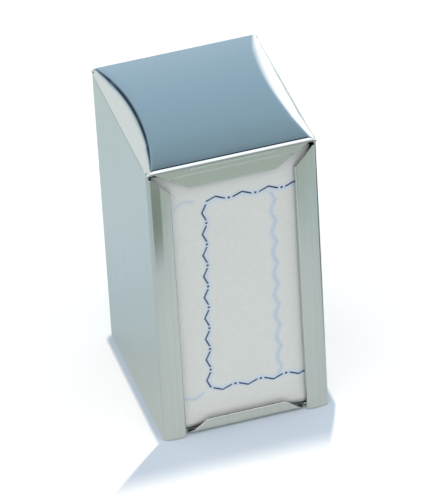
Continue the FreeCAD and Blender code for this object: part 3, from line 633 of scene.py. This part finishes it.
def cover_line(bm, shell):
    """The cover's profile from its front lip over the dome to its rear lip, as a chain of edges."""
    radius, centre, roll_y, roll_z = dome_profile(shell)
    sweep = math.asin(roll_y / (radius - shell.roll))
    axis = (1, 0, 0)
    curl = shell.curl_under
    start = bm.verts.new(
        (0, -roll_y - shell.roll * math.cos(curl), roll_z - shell.roll * math.sin(curl))
    )
    steps = (
        ((0, -roll_y, roll_z), -(math.pi / 2 + curl - sweep), 18),
        ((0, 0, centre), -2 * sweep, 72),
        ((0, roll_y, roll_z), -(math.pi / 2 + curl - sweep), 18),
    )
    last = start
    for pivot, angle, count in steps:
        made = bmesh.ops.spin(
            bm, geom=[last], cent=pivot, axis=axis, angle=angle, steps=count, use_duplicate=False
        )
        last = next(g for g in made["geom_last"] if isinstance(g, bmesh.types.BMVert))
    line, edge = [start], None
    while True:
        onward = [e for e in line[-1].link_edges if e is not edge]
        if not onward:
            return line
        edge = onward[0]
        line.append(edge.other_vert(line[-1]))


def flap_height(shell, y):
    """Height of the curved line where the cover's side flap meets the side panel."""
    if abs(y) >= shell.flap_run:
        return shell.corner_height
    bow = shell.flap_drop - 0.0004
    radius = (shell.flap_run**2 + bow**2) / (2 * bow)
    return shell.corner_height - shell.flap_drop + radius - math.sqrt(radius**2 - y**2)


def shoulder_section(shell, height, y):
    """Half of the cover's cross-section at one place: (x, drop) from the middle outwards."""
    edge = shell.half_width
    facet = max(height - shell.corner_height, 0.0)
    crown = max(min(shell.crown, 2.0 * facet), 1e-5)
    bend_x = edge - facet - crown * math.tan(math.pi / 8)
    points = [(0.0, 0.0), (bend_x * 0.5, 0.0), (bend_x, 0.0)]
    for step in range(1, 9):
        lean = math.pi / 4 * step / 8
        points.append((bend_x + crown * math.sin(lean), crown * (1 - math.cos(lean))))
    # The facet turns down into the flap through a soft bend that dies out at the flap's ends.
    drop = points[-1][1] + edge - points[-1][0]
    ease = min(shell.flap_bend * math.tan(math.pi / 8), shell.corner_height - flap_height(shell, y))
    soft = ease / math.tan(math.pi / 8)
    for step in range(7):
        lean = math.pi / 4 * (1 + step / 6)
        points.append((edge - soft * (1 - math.sin(lean)), drop + ease - soft * math.cos(lean)))
    return points


def model_cover(shell):
    """Domed top: its profile swept across, with a shoulder, a lens facet and a flap at each side."""
    bm = bmesh.new()
    line = cover_line(bm, shell)
    spots = [v.co.copy() for v in line]
    bm.clear()
    count = len(shoulder_section(shell, shell.dome_height, 0.0))
    bmesh.ops.create_grid(bm, x_segments=2 * (count - 1), y_segments=len(spots) - 1, size=1.0)
    for vert in bm.verts:
        column = round((vert.co.x + 1) / 2 * 2 * (count - 1)) - (count - 1)
        spot = spots[round((vert.co.y + 1) / 2 * (len(spots) - 1))]
        x, drop = shoulder_section(shell, spot.z, spot.y)[abs(column)]
        vert.co = (math.copysign(x, column), spot.y, spot.z - drop)
    bmesh.ops.remove_doubles(bm, verts=bm.verts, dist=2e-6)
    for side in (-1, 1):
        rim = [
            e
            for e in bm.edges
            if e.is_boundary and all(abs(v.co.x * side - shell.half_width) < MERGE for v in e.verts)
            and abs(e.verts[0].co.y) < shell.half_depth - shell.roll
        ]
        _, rim = swept(bm, rim, (0, 0, -1e-5))
        for vert in {v for e in rim for v in e.verts}:
            vert.co.z = flap_height(shell, vert.co.y)
        _, rim = swept(bm, rim, (-side * (shell.gauge + FITTING_GAP), 0, 0))
        _, rim = swept(bm, rim, (0, 0, -1e-5))
        for vert in {v for e in rim for v in e.verts}:
            vert.co.z = shell.corner_height - shell.skirt
    bmesh.ops.remove_doubles(bm, verts=bm.verts, dist=2e-6)
    bmesh.ops.recalc_face_normals(bm, faces=bm.faces)
    turn_out(bm.faces, Vector((0, 0, 0.1)))
    for end in (-1, 1):
        for side in (-1, 1):
            near = shell.half_width - shell.lip_inset
            split(bm, (near * side, 0, 0), (side, 0, 0))
            corner = [f for f in bm.faces if middle(f).x * side > near and middle(f).y * end > 0.0525]
            trim(bm, corner, (0, 0, shell.corner_height + 0.0001), (0, 0, -1))
    return bm


def model_hanging_flange(bm, shell, end):
    """Trapezoid flange behind a rolled edge: a panel pressed in along its top, above a plain hem."""
    face_y = (shell.half_depth - shell.hanging_recess) * end
    drop, top = shell.hanging_drop, shell.corner_height
    slope = (shell.hanging_inset - 0.0064) / (drop - 0.0014)
    panel_top, panel_foot = 0.0042, drop - 0.0023

    def half(depth, trim_by=0.0):
        return shell.half_width - (shell.hanging_inset - (drop - depth) * slope) - trim_by

    def widest(faces, measure):
        return max((f for f in faces if abs(middle(f).y - face_y) < MERGE), key=measure)

    high = -0.0004
    corners = [(-half(high), high), (-half(drop), drop), (half(drop), drop), (half(high), high)]
    face = flat_face(bm, [(x, face_y, top - depth) for x, depth in corners])
    grown(bm, face, (0, -shell.gauge * end, 0))
    panel = widest(bm.faces, lambda f: f.calc_area())
    bmesh.ops.inset_individual(bm, faces=[panel], thickness=0.0015)
    for vert in panel.verts:
        depth = panel_top if vert.co.z > top - drop / 2 else panel_foot
        vert.co.x = math.copysign(half(depth, 0.0006), vert.co.x)
        vert.co.z = top - depth
    rounded(bm, [v for v in panel.verts if v.co.z > top - 0.005], 0.0034, 8, "VERTICES")
    below = [f for f in bm.faces if max(v.co.z for v in f.verts) < top - 0.004]
    panel = widest(below, lambda f: len(f.verts))
    # Pressed in along its upper edge, and level with the sheet again at its lower one.
    press_foot, press_rise = 0.010, 0.0045
    for width, depth in ((0.0003, 0.0001), (0.0005, 0.0003), (0.0003, 0.0001)):
        bmesh.ops.inset_individual(bm, faces=[panel], thickness=width)
        for vert in panel.verts:
            pressed = min(max((vert.co.z - top + press_foot) / press_rise, 0.0), 1.0)
            vert.co.y -= depth * end * pressed


def model_side_panel(shell, side):
    """Flat side with a crowned flange folded in at each end and curled at its inner edge."""
    bm = bmesh.new()
    half = [
        (shell.flange_width, shell.flange_return),
        (shell.flange_width, 0.0005),
        (shell.flange_apex, 0.0),
        (0.0, shell.flange_shoulder),
    ]
    plan = [(side * (shell.half_width - x), y - shell.half_depth) for x, y in half]
    plan += [(x, -y) for x, y in reversed(plan)]
    _, edges = chain(bm, [(x, y, 0) for x, y in plan])
    faces, _ = swept(bm, edges, (0, 0, shell.corner_height - FITTING_GAP))
    turn_out(faces, Vector((0, 0, 0.09)))
    inner = math.atan2(0.0005, shell.flange_width - shell.flange_apex)
    outer = math.atan2(shell.flange_shoulder, shell.flange_apex)
    bends = [
        (1, shell.curl_bend, math.pi / 2 - inner, 8),
        (2, shell.crown_bend, inner + outer, 10),
        (3, shell.corner_bend, math.pi / 2 - outer, 14),
    ]
    for index, radius, angle, segments in bends:
        for spot in (plan[index], plan[len(plan) - 1 - index]):
            bend(bm, 2, spot, radius, angle, segments)
    inset = shell.half_width - shell.gauge
    top = shell.corner_height
    high, low = top - shell.flange_start, shell.flange_foot
    for height in (high, low):
        split(bm, (0, 0, height), (0, 0, 1))
    spare = [f for f in bm.faces if middle(f).x * side < inset and not low < middle(f).z < high]
    bmesh.ops.delete(bm, geom=spare, context="FACES")
    for end in (-1, 1):
        faces = [f for f in bm.faces if middle(f).x * side < inset - 0.001 and middle(f).y * end > 0]
        start = shell.half_width - shell.lip_inset
        cut = (-shell.flange_width * side, 0, shell.flange_width + 0.001 - shell.lip_inset)
        trim(bm, faces, (start * side, 0, high), cut)
    bmesh.ops.remove_doubles(bm, verts=bm.verts, dist=1e-6)
    # The flat side's upper edge follows the cover's flap.
    reach, steps = shell.flap_run + FITTING_GAP, 40
    for step in range(steps + 1):
        split(bm, (0, -reach + 2 * reach * step / steps, 0), (0, 1, 0))
    for vert in bm.verts:
        x, y, z = vert.co
        flat = abs(x * side - shell.half_width) < MERGE
        if flat and abs(y) < reach - MERGE and z > high - 0.001:
            below = shell.flange_start if z < top - 0.001 else 0
            vert.co.z = flap_height(shell, y) - FITTING_GAP - below
    return bm


# ---------------------------------------------------------------- the base


def model_base(shell, base):
    """Floor with a rounded rim, pressed-up middle, side flanges and a folded tab in each mouth."""
    bm = bmesh.new()
    wide = shell.half_width - shell.gauge - FITTING_GAP
    floor_x = wide - 2 * shell.gauge
    floor_y = shell.half_depth - 0.0003
    corners = ((-1, -1), (-1, 1), (1, 1), (1, -1))
    face = flat_face(bm, [(floor_x * x, floor_y * y, 0) for x, y in corners])
    rounded(bm, list(face.verts), base.corner, 10, "VERTICES")
    foot = 0.0012  # how far the slope up to the raised floor starts outside the rim's width
    step = floor_x - (shell.half_width - base.rim + foot)
    raised = bm.faces[:]
    bmesh.ops.inset_region(bm, faces=raised, thickness=step)
    far_y = shell.half_depth - base.rim + foot
    bmesh.ops.scale(bm, vec=(1, far_y / (floor_y - step), 1), verts=list(raised[0].verts))
    bmesh.ops.inset_region(bm, faces=raised, thickness=base.rise * math.tan(math.radians(20)))
    bmesh.ops.translate(bm, verts=list(raised[0].verts), vec=(0, 0, base.rise))
    room_x, room_y = base.tab_foot + TAB_ROOM, shell.half_depth - base.tab_bend - TAB_ROOM
    for side in (-1, 1):
        split(bm, (room_x * side, 0, 0), (1, 0, 0))
        split(bm, (0, room_y * side, 0), (0, 1, 0))
    open_room = [f for f in bm.faces if abs(middle(f).x) < room_x and abs(middle(f).y) > room_y]
    bmesh.ops.delete(bm, geom=open_room, context="FACES")
    for side in (-1, 1):
        x = wide * side
        reach = shell.half_depth - 0.006
        section = ((x, base.side_height), (x, 0), (floor_x * side, 0))
        _, edges = chain(bm, [(across, -reach, height) for across, height in section])
        swept(bm, edges, (0, 2 * reach, 0))
        bend(bm, 1, (x, 0), 2 * shell.gauge, math.pi / 2, 6)
    for end in (-1, 1):
        model_tab(bm, shell, base, end)
    bmesh.ops.remove_doubles(bm, verts=bm.verts, dist=1e-6)
    bmesh.ops.recalc_face_normals(bm, faces=bm.faces)
    # The floor, the side flanges and the tabs are separate sheets, and each is turned out, so the
    # floor's upper side is its inner side, painted nearly black as shade.
    waiting = set(bm.faces)
    while waiting:
        sheet, front = set(), [waiting.pop()]
        while front:
            face = front.pop()
            sheet.add(face)
            joined = {f for e in face.edges for f in e.link_faces} & waiting
            waiting -= joined
            front += joined
        turn_out(sheet, Vector((0, 0, 0.05)))
    return bm


def model_tab(bm, shell, base, end):
    """One turned-up tab: a bent strip with slanted ends."""
    face_y = (shell.half_depth - shell.emboss) * end
    foot_y = (shell.half_depth - base.tab_bend - TAB_ROOM) * end
    half = base.tab_foot
    _, edges = chain(bm, [(-half, face_y, base.tab_height), (-half, face_y, 0), (-half, foot_y, 0)])
    swept(bm, edges, (2 * half, 0, 0))
    bend(bm, 0, (face_y, 0), base.tab_bend, math.pi / 2, 14)
    for side in (-1, 1):
        strip = [
            f
            for f in bm.faces
            if middle(f).y * end > abs(foot_y) - MERGE and abs(middle(f).x) < half
            and max(v.co.y * end for v in f.verts) <= abs(face_y) + 1e-7
            and min(abs(v.co.x) for v in f.verts) < half + MERGE
        ]
        slant = ((base.tab_height - TAB_FOOT) * side, 0, base.tab_foot - base.tab_top)
        trim(bm, strip, (half * side, 0, TAB_FOOT), slant)


def model_beads(shell, base):
    """The rounded bead pressed round the slanted ends and upper edge of each tab."""
    bm = bmesh.new()
    lean = (base.tab_foot - base.tab_top) / (base.tab_height - TAB_FOOT)

    def half(height, trim_by=0.0):
        return base.tab_foot - (height - TAB_FOOT) * lean - trim_by

    low, high, width, height, edge = 0.003, base.tab_height, 0.0014, 0.00095, 0.00032
    inner, slanted = high - width, 0.0019
    right = [(half(low), low), (half(high), high)]
    inside = [(half(inner, slanted), inner), (half(low, slanted), low)]
    left = [(-x, z) for x, z in reversed(inside + right)]
    run = right + left + inside
    for end in (-1, 1):
        y = (shell.half_depth - 0.0013) * end
        front = grown(bm, flat_face(bm, [(x, y, z) for x, z in run]), (0, height * end, 0))
        rounded(bm, list(front.edges), edge, 4)
    bmesh.ops.recalc_face_normals(bm, faces=bm.faces)
    return bm


# ---------------------------------------------------------------- napkins


def fold_napkin(bm, napkins, face_depth, low, rows, columns):
    """Fold one sheet back and forth into a packet."""
    plies = napkins.plies
    ply = napkins.gauge / plies
    half = napkins.width / 2
    vert = bm.verts.new((-half + ply, face_depth - ply / 2, low))
    for layer in range(plies):
        way = 1 if layer % 2 == 0 else -1
        step = way * (napkins.width - 2 * ply) / columns
        for _ in range(columns):
            vert = bmesh.ops.extrude_vert_indiv(bm, verts=[vert])["verts"][0]
            vert.co.x += step
        if layer < plies - 1:
            pivot = (vert.co.x, vert.co.y - ply / 2, low)
            turned = bmesh.ops.spin(
                bm, geom=[vert], cent=pivot, axis=(0, 0, 1), angle=-way * math.pi, steps=5,
                use_duplicate=False,
            )
            vert = only(BMVert, turned["geom_last"])[0]
    faces, edges = [], list(bm.edges)
    for _ in range(rows):
        made, edges = swept(bm, edges, (0, 0, napkins.height / rows))
        faces += made
    return faces


def settle_napkin(faces, napkins, face_depth, low, bulge, seed):
    """Move a folded packet's points a little: plies ease apart, edges wander, the face swells."""
    half, height = napkins.width / 2, napkins.height
    narrowed, uneven_side, uneven_end = 0.004, 0.00018, 0.00022
    for vert in {v for f in faces for v in f.verts}:
        x, y, z = vert.co
        share_x = 1 - (x / half) ** 2
        depth = (face_depth - y) / napkins.gauge
        lift = bulge * max(share_x, 0.0) * (1 - 0.85 * depth)
        spot = Vector((x * 22, seed * 7.3 + round(depth * napkins.plies) * 0.9, z * 16))
        wander = noise.noise(spot) * napkins.gauge * 0.16 * min(1.0, share_x * 3)
        ragged = noise.noise(Vector((seed * 3.1 + y * 900, 1.7, z * 30))) * uneven_side
        sag = noise.noise(Vector((x * 30, y * 1400 + seed * 1.3, 4.2))) * uneven_end
        vert.co = (
            x * (1 - narrowed) + ragged * (abs(x) / half) ** 6,
            y + lift + wander,
            z + sag * (1 - min(z - low, low + height - z) / height),
        )


def napkin_piece(name, napkins, end, places, bulge, finishes, node, rows, columns):
    """One or more folded napkins, counted back from the mouth, as one piece."""
    bm = bmesh.new()
    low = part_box("front_outer_napkin")[0].z
    ply = napkins.gauge / napkins.plies
    for place in places:
        packet = bmesh.new()
        face_depth = napkins.face - napkins.pitch * place
        faces = fold_napkin(packet, napkins, face_depth, low, rows, columns)
        for face in faces:
            if middle(face).y > face_depth - ply * 0.7:
                face.material_index = len(finishes) - 1
        settle_napkin(faces, napkins, face_depth, low, bulge, place + (0.5 if end > 0 else 0.0))
        joined = bpy.data.meshes.new("packet")
        packet.to_mesh(joined)
        packet.free()
        bm.from_mesh(joined)
        bpy.data.meshes.remove(joined)
    if end < 0:
        bmesh.ops.rotate(bm, cent=(0, 0, 0), matrix=Matrix.Rotation(math.pi, 3, "Z"), verts=bm.verts)
    uv = bm.loops.layers.uv.verify()
    bmesh.ops.recalc_face_normals(bm, faces=bm.faces)
    shell = bpy.context.scene.dispenser_shell
    for face in bm.faces:
        for loop in face.loops:
            x, _, z = loop.vert.co
            loop[uv].uv = ((shell.half_width - x * end) * 1000, (shell.corner_height - z) * 1000)
    word = "front" if end < 0 else "rear"
    piece = made_piece(name, bm, word + "_napkin_pack", finishes, node, 60.0)
    piece.data.uv_layers[0].name = "napkin_face"
    wall = piece.modifiers.new("Paper", "SOLIDIFY")
    wall.thickness = ply * 0.8
    wall.offset = 0.0
    return piece


# ---------------------------------------------------------------- springs


def wind_spring(name, springs, end, height, node):
    """A conical coil with closed, flattened ends, drawn as one curve and made a mesh."""
    wire = springs.wire / 2
    near, far = sorted(abs(corner.y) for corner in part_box(node))
    near, far = near + wire, far - wire
    count = springs.turns * 20
    curve = bpy.data.curves.new(name, "CURVE")
    curve.dimensions = "3D"
    curve.bevel_depth = wire
    curve.bevel_resolution = 4
    curve.resolution_u = 4
    curve.use_fill_caps = True
    line = curve.splines.new("NURBS")
    line.points.add(count)
    for n in range(count + 1):
        along = n / count
        angle = 2 * math.pi * springs.turns * along
        flare = (1 - math.cos(math.pi * along)) / 2
        radius = springs.small + (springs.large - springs.small) * flare
        eased = along - 0.62 * math.sin(2 * math.pi * along) / (2 * math.pi)
        x, z = radius * math.cos(angle), height + radius * math.sin(angle)
        line.points[n].co = (x, end * (near + (far - near) * eased), z, 1.0)
    line.order_u = 3
    line.use_endpoint_u = True
    coil = bpy.data.objects.new(name + "_curve", curve)
    mesh = bpy.data.meshes.new_from_object(coil)
    bpy.data.objects.remove(coil)
    bpy.data.curves.remove(curve)
    bm = bmesh.new()
    bm.from_mesh(mesh)
    bpy.data.meshes.remove(mesh)
    bmesh.ops.remove_doubles(bm, verts=bm.verts, dist=1e-7)
    bmesh.ops.recalc_face_normals(bm, faces=bm.faces)
    piece = made_piece(name, bm, "housing", ["spring_wire"], node, 50.0)
    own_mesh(piece)
    return piece


# ---------------------------------------------------------------- operators


class DISPENSER_OT_model_cover(bpy.types.Operator):
    """Model the domed, chromed top cover with its rolled edges and hanging flanges"""

    bl_idname = "dispenser.model_cover"
    bl_label = "Top Cover"

    def execute(self, context):
        shell = context.scene.dispenser_shell
        cover = shell_piece("domed_cover", model_cover(shell), "top_cover")
        thicken(cover, shell.gauge)
        bm = bmesh.new()
        for end in ENDS.values():
            model_hanging_flange(bm, shell, end)
        bmesh.ops.recalc_face_normals(bm, faces=bm.faces)
        flanges = shell_piece("hanging_flanges", bm, "top_cover")
        soften(flanges, 0.0001)
        return {"FINISHED"}


class DISPENSER_OT_fold_side_panels(bpy.types.Operator):
    """Fold the two chromed side panels with their crowned front and rear flanges"""

    bl_idname = "dispenser.fold_side_panels"
    bl_label = "Side Panels"

    def execute(self, context):
        shell = context.scene.dispenser_shell
        for word, side in (("left", -1), ("right", 1)):
            panel = shell_piece(word + "_panel", model_side_panel(shell, side), word + "_side_panel")
            thicken(panel, shell.gauge)
        return {"FINISHED"}


class DISPENSER_OT_press_base(bpy.types.Operator):
    """Press the base plate with its rim, raised floor and beaded tabs"""

    bl_idname = "dispenser.press_base"
    bl_label = "Base Plate"

    def execute(self, context):
        shell, base = context.scene.dispenser_shell, context.scene.dispenser_base
        plate = shell_piece("pressed_base", model_base(shell, base), "base_plate")
        thicken(plate, shell.gauge)
        beads = shell_piece("tab_beads", model_beads(shell, base), "base_plate", 60.0)
        soften(beads, 0.0001)
        return {"FINISHED"}


class DISPENSER_OT_finish_inner_sheet(bpy.types.Operator):
    """Give the partition, followers, spring cups and rivets their steel finishes"""

    bl_idname = "dispenser.finish_inner_sheet"
    bl_label = "Inner Sheet"

    def execute(self, context):
        finishes = {
            "centre_partition": "plain_steel_sheet",
            "front_follower": "plain_steel_sheet",
            "rear_follower": "plain_steel_sheet",
            "front_spring_cups": "spring_seat_steel",
            "rear_spring_cups": "spring_seat_steel",
            "cup_rivets": "spring_seat_steel",
        }
        for node, finish in finishes.items():
            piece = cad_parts[node]
            piece.data.materials.clear()
            piece.data.materials.append(FINISH[finish])
        return {"FINISHED"}


class DISPENSER_OT_wind_springs(bpy.types.Operator):
    """Wind the four conical springs that press the followers"""

    bl_idname = "dispenser.wind_springs"
    bl_label = "Springs"

    def execute(self, context):
        springs = context.scene.dispenser_springs
        for word, end in ENDS.items():
            for level in ("upper", "lower"):
                node = "%s_%s_spring" % (word, level)
                wind_spring(node + "_coil", springs, end, getattr(springs, level), node)
        return {"FINISHED"}


class DISPENSER_OT_fold_napkins(bpy.types.Operator):
    """Fold the outer napkins, the ones behind them and the rest of each stack"""

    bl_idname = "dispenser.fold_napkins"
    bl_label = "Napkins"

    def execute(self, context):
        napkins = context.scene.dispenser_napkins
        plain, printed = ["napkin_paper"], ["napkin_paper", "printed_paper"]
        outer = (
            ("%s_printed_napkin", napkins.bulge, printed, "%s_outer_napkin", 60, 34),
            ("%s_next_napkin", 0.0, plain, "%s_second_napkin", 30, 16),
            ("%s_third_folded_napkin", 0.0, plain, "%s_third_napkin", 30, 16),
        )
        for word, end in ENDS.items():
            for place, (name, bulge, finishes, node, rows, columns) in enumerate(outer):
                node = node % word
                napkin_piece(name % word, napkins, end, [place], bulge, finishes, node, rows, columns)
            napkin_piece(
                word + "_stacked_napkins", napkins, end, range(3, 3 + napkins.stack), 0.0, plain,
                word + "_napkin_stack", 12, 8,
            )
        return {"FINISHED"}


class DISPENSER_OT_set_stage(bpy.types.Operator):
    """Lay the pale floor, light it softly and place the camera"""

    bl_idname = "dispenser.set_stage"
    bl_label = "Stage"

    def execute(self, context):
        stage = context.scene.dispenser_stage
        lay_floor()
        light_studio(context.scene)
        place_camera(context.scene, stage)
        context.scene.view_settings.view_transform = "Standard"
        return {"FINISHED"}


def lay_floor():
    """A round floor; seen directly it is white, with a painted soft shadow near the base over the
    diffuse floor's own shade.
    """
    bm = bmesh.new()
    bmesh.ops.create_circle(bm, cap_ends=True, segments=96, radius=0.8)
    mesh = bpy.data.meshes.new("studio_floor")
    bm.to_mesh(mesh)
    bm.free()
    floor = bpy.data.objects.new("studio_floor", mesh)
    bpy.context.scene.collection.objects.link(floor)
    material, bench, where = new_finish("studio_floor")
    x, y, _ = bench.parts(where)
    # What the chrome reflects: a pale floor that dims outwards, with two darker cards on it.
    near = bench.mix(bench.between(y, -0.06, 0.10), (0.79, 0.81, 0.76), (0.68, 0.75, 0.76))
    tone = bench.mix(bench.between(bench.far(x, y), 0.16, 0.30), near, (0.65, 0.71, 0.69))
    tone = bench.mix(bench.fading(y, -0.30, -0.20), tone, (0.57, 0.61, 0.52))
    cards = (
        (-0.075, -0.28, 0.036, 0.074, (0.34, 0.37, 0.31)),
        (0.22, 0.05, 0.07, 0.18, (0.20, 0.23, 0.21)),
    )
    for middle_x, middle_y, inner, outer, shade in cards:
        away = bench.far(x - middle_x, y - middle_y)
        tone = bench.mix(bench.fading(away, inner, outer), tone, shade)
    path = bench.add("ShaderNodeLightPath")
    lit = bench.add("ShaderNodeBsdfDiffuse", Color=(0.66, 0.72, 0.70))
    polished = bench.maths("MAXIMUM", path["Is Glossy Ray"], path["Is Transmission Ray"])
    reflected = bench.add("ShaderNodeBsdfDiffuse", Color=tone)
    # Seen directly the floor is white, and in a painted shadow patch near the base, stretched forward
    # and to the left, the white glow is withheld so the diffuse floor's own shade shows.
    low, high = CAD_BOX
    painted_shadow_right_narrowing, painted_shadow_left_narrowing, painted_shadow_rear_narrowing, painted_shadow_rear_y = 9.0, 8.0, 5.0, 0.046
    ahead = bench.maths("MAXIMUM", low.y - y, 0.0)
    beside = bench.maths("MAXIMUM", x + ahead * 0.35 - high.x, 0.0) * painted_shadow_right_narrowing
    beside = beside + bench.maths("MAXIMUM", low.x - x - ahead * 1.1, 0.0) * painted_shadow_left_narrowing
    behind = bench.maths("MAXIMUM", y - painted_shadow_rear_y, 0.0) * painted_shadow_rear_narrowing
    # Painted shadow: this mask by position sets where the glow is withheld, so the shadow's reach is
    # painted while its darkness comes from the diffuse floor.
    clear = bench.between(bench.far(beside, ahead, behind), 0.019, 0.043)
    # The diffuse floor's bluish colour is the painted shadow's tint; the warm glow added over it makes
    # white.
    shaded = bench.add("ShaderNodeBsdfDiffuse", Color=(0.571, 0.631, 0.717))
    white = bench.add("ShaderNodeEmission", Color=(0.50, 0.44, 0.36), Strength=1.0)
    seen = bench.blend(clear, shaded, bench.add("ShaderNodeAddShader", in0=shaded, in1=white))
    chosen = bench.blend(path["Is Camera Ray"], bench.blend(polished, lit, reflected), seen)
    bench.add("ShaderNodeOutputMaterial", Surface=chosen)
    floor.data.materials.append(material)


def light_studio(scene):
    """A soft tent of light: bright overhead in front, dimming to a cool grey-blue behind.

    Height and bearing are in degrees; a bearing of nought is straight behind the object.
    """
    world = bpy.data.worlds.new("studio")
    world.use_nodes = True
    scene.world = world
    bench = Bench(world.node_tree)
    x, y, z = bench.parts(bench.add("ShaderNodeTexCoord")["Generated"])
    height = bench.maths("ARCSINE", z) * (180 / math.pi)
    bearing = bench.maths("ARCTAN2", x, y) * (180 / math.pi)
    sky = [
        (0.0, (0.62, 0.80, 0.92)),
        (0.13, (0.56, 0.75, 0.89)),
        (0.40, (0.45, 0.64, 0.79)),
        (0.53, (0.41, 0.59, 0.71)),
        (0.64, (0.32, 0.46, 0.54)),
        (0.70, (0.12, 0.17, 0.23)),
        (0.76, (0.03, 0.05, 0.09)),
        (1.0, (0.03, 0.04, 0.07)),
    ]
    behind = bench.add("ShaderNodeValToRGB", {"stops": sky}, Fac=height / 90)
    left = bench.fading(bearing, -32.0, -22.0)
    behind = bench.mix(left, behind, (1.08, 1.13, 1.10))
    right = bench.between(bearing, 19.0, 38.0) * bench.fading(height, 26.0, 40.0)
    behind = bench.mix(right, behind, (1.75, 1.77, 1.78))
    dark = bench.between(bearing, -26.0, -21.0) * bench.fading(bearing, -17.0, -8.0)
    dark = dark * bench.between(height, 18.0, 26.0) * bench.fading(height, 42.0, 52.0)
    behind = bench.mix(dark, behind, (0.05, 0.07, 0.10))
    lamp = bench.between(height, 15.0, 40.0) * bench.fading(height, 76.0, 80.0)
    front = bench.mix(lamp, (0.46, 0.50, 0.49), (1.74, 1.75, 1.75))
    tone = bench.mix(bench.between(y, -0.14, -0.06), front, behind)
    tone = bench.mix(bench.add("ShaderNodeLightPath")["Is Camera Ray"], tone, (1.0, 1.0, 1.0))
    back = bench.add("ShaderNodeBackground", Color=tone, Strength=1.0)
    bench.add("ShaderNodeOutputWorld", Surface=back)


def place_camera(scene, stage):
    """Look at the middle of the object from the stage's angle and distance."""
    azimuth, elevation, roll = stage.azimuth, stage.elevation, stage.roll
    flat = math.cos(elevation)
    back = Vector((math.sin(azimuth) * flat, -math.cos(azimuth) * flat, math.sin(elevation)))
    level = Vector((math.cos(azimuth), math.sin(azimuth), 0))
    upright = back.cross(level)
    right = level * math.cos(roll) + upright * math.sin(roll)
    up = upright * math.cos(roll) - level * math.sin(roll)
    middle_height = 0.091
    place = Vector((0, 0, middle_height)) + back * stage.reach
    place += right * stage.aside + up * stage.above
    lens = bpy.data.cameras.new("view")
    lens.sensor_fit = "HORIZONTAL"
    lens.sensor_width = 36.0
    lens.lens = stage.lens
    lens.clip_start = 0.1
    lens.clip_end = 20.0
    camera = bpy.data.objects.new("view", lens)
    camera.matrix_world = Matrix.Translation(place) @ Matrix((right, up, back)).transposed().to_4x4()
    scene.collection.objects.link(camera)
    scene.camera = camera


class DISPENSER_PT_pieces(bpy.types.Panel):
    """The dispenser's pieces and their sizes"""

    bl_label = "Napkin Dispenser"
    bl_idname = "DISPENSER_PT_pieces"
    bl_space_type = "VIEW_3D"
    bl_region_type = "UI"
    bl_category = "Dispenser"

    def draw(self, context):
        layout = self.layout
        layout.use_property_split = True
        for group in SETTINGS:
            box = layout.box()
            box.label(text=group.capitalize())
            settings = getattr(context.scene, "dispenser_" + group)
            for name in settings.bl_rna.properties.keys():
                if name not in ("rna_type", "name"):
                    box.prop(settings, name)
        for operator in OPERATORS:
            layout.operator(operator.bl_idname)


SETTINGS = {
    "shell": ShellSizes,
    "base": BaseSizes,
    "springs": SpringSizes,
    "napkins": NapkinSizes,
    "finishes": Finishes,
    "stage": StageSizes,
}
OPERATORS = (
    DISPENSER_OT_model_cover,
    DISPENSER_OT_fold_side_panels,
    DISPENSER_OT_press_base,
    DISPENSER_OT_finish_inner_sheet,
    DISPENSER_OT_wind_springs,
    DISPENSER_OT_fold_napkins,
    DISPENSER_OT_set_stage,
)
CLASSES = (*SETTINGS.values(), *OPERATORS, DISPENSER_PT_pieces)


def register():
    for cls in CLASSES:
        bpy.utils.register_class(cls)
    for name, group in SETTINGS.items():
        setattr(bpy.types.Scene, "dispenser_" + name, PointerProperty(type=group))


def unregister():
    for name in SETTINGS:
        delattr(bpy.types.Scene, "dispenser_" + name)
    for cls in reversed(CLASSES):
        bpy.utils.unregister_class(cls)


def main():
    register()
    mix_finishes(bpy.context.scene)
    bpy.ops.dispenser.model_cover()
    bpy.ops.dispenser.fold_side_panels()
    bpy.ops.dispenser.press_base()
    bpy.ops.dispenser.finish_inner_sheet()
    bpy.ops.dispenser.wind_springs()
    bpy.ops.dispenser.fold_napkins()
    bpy.ops.dispenser.set_stage()


if __name__ == "__main__":
    main()
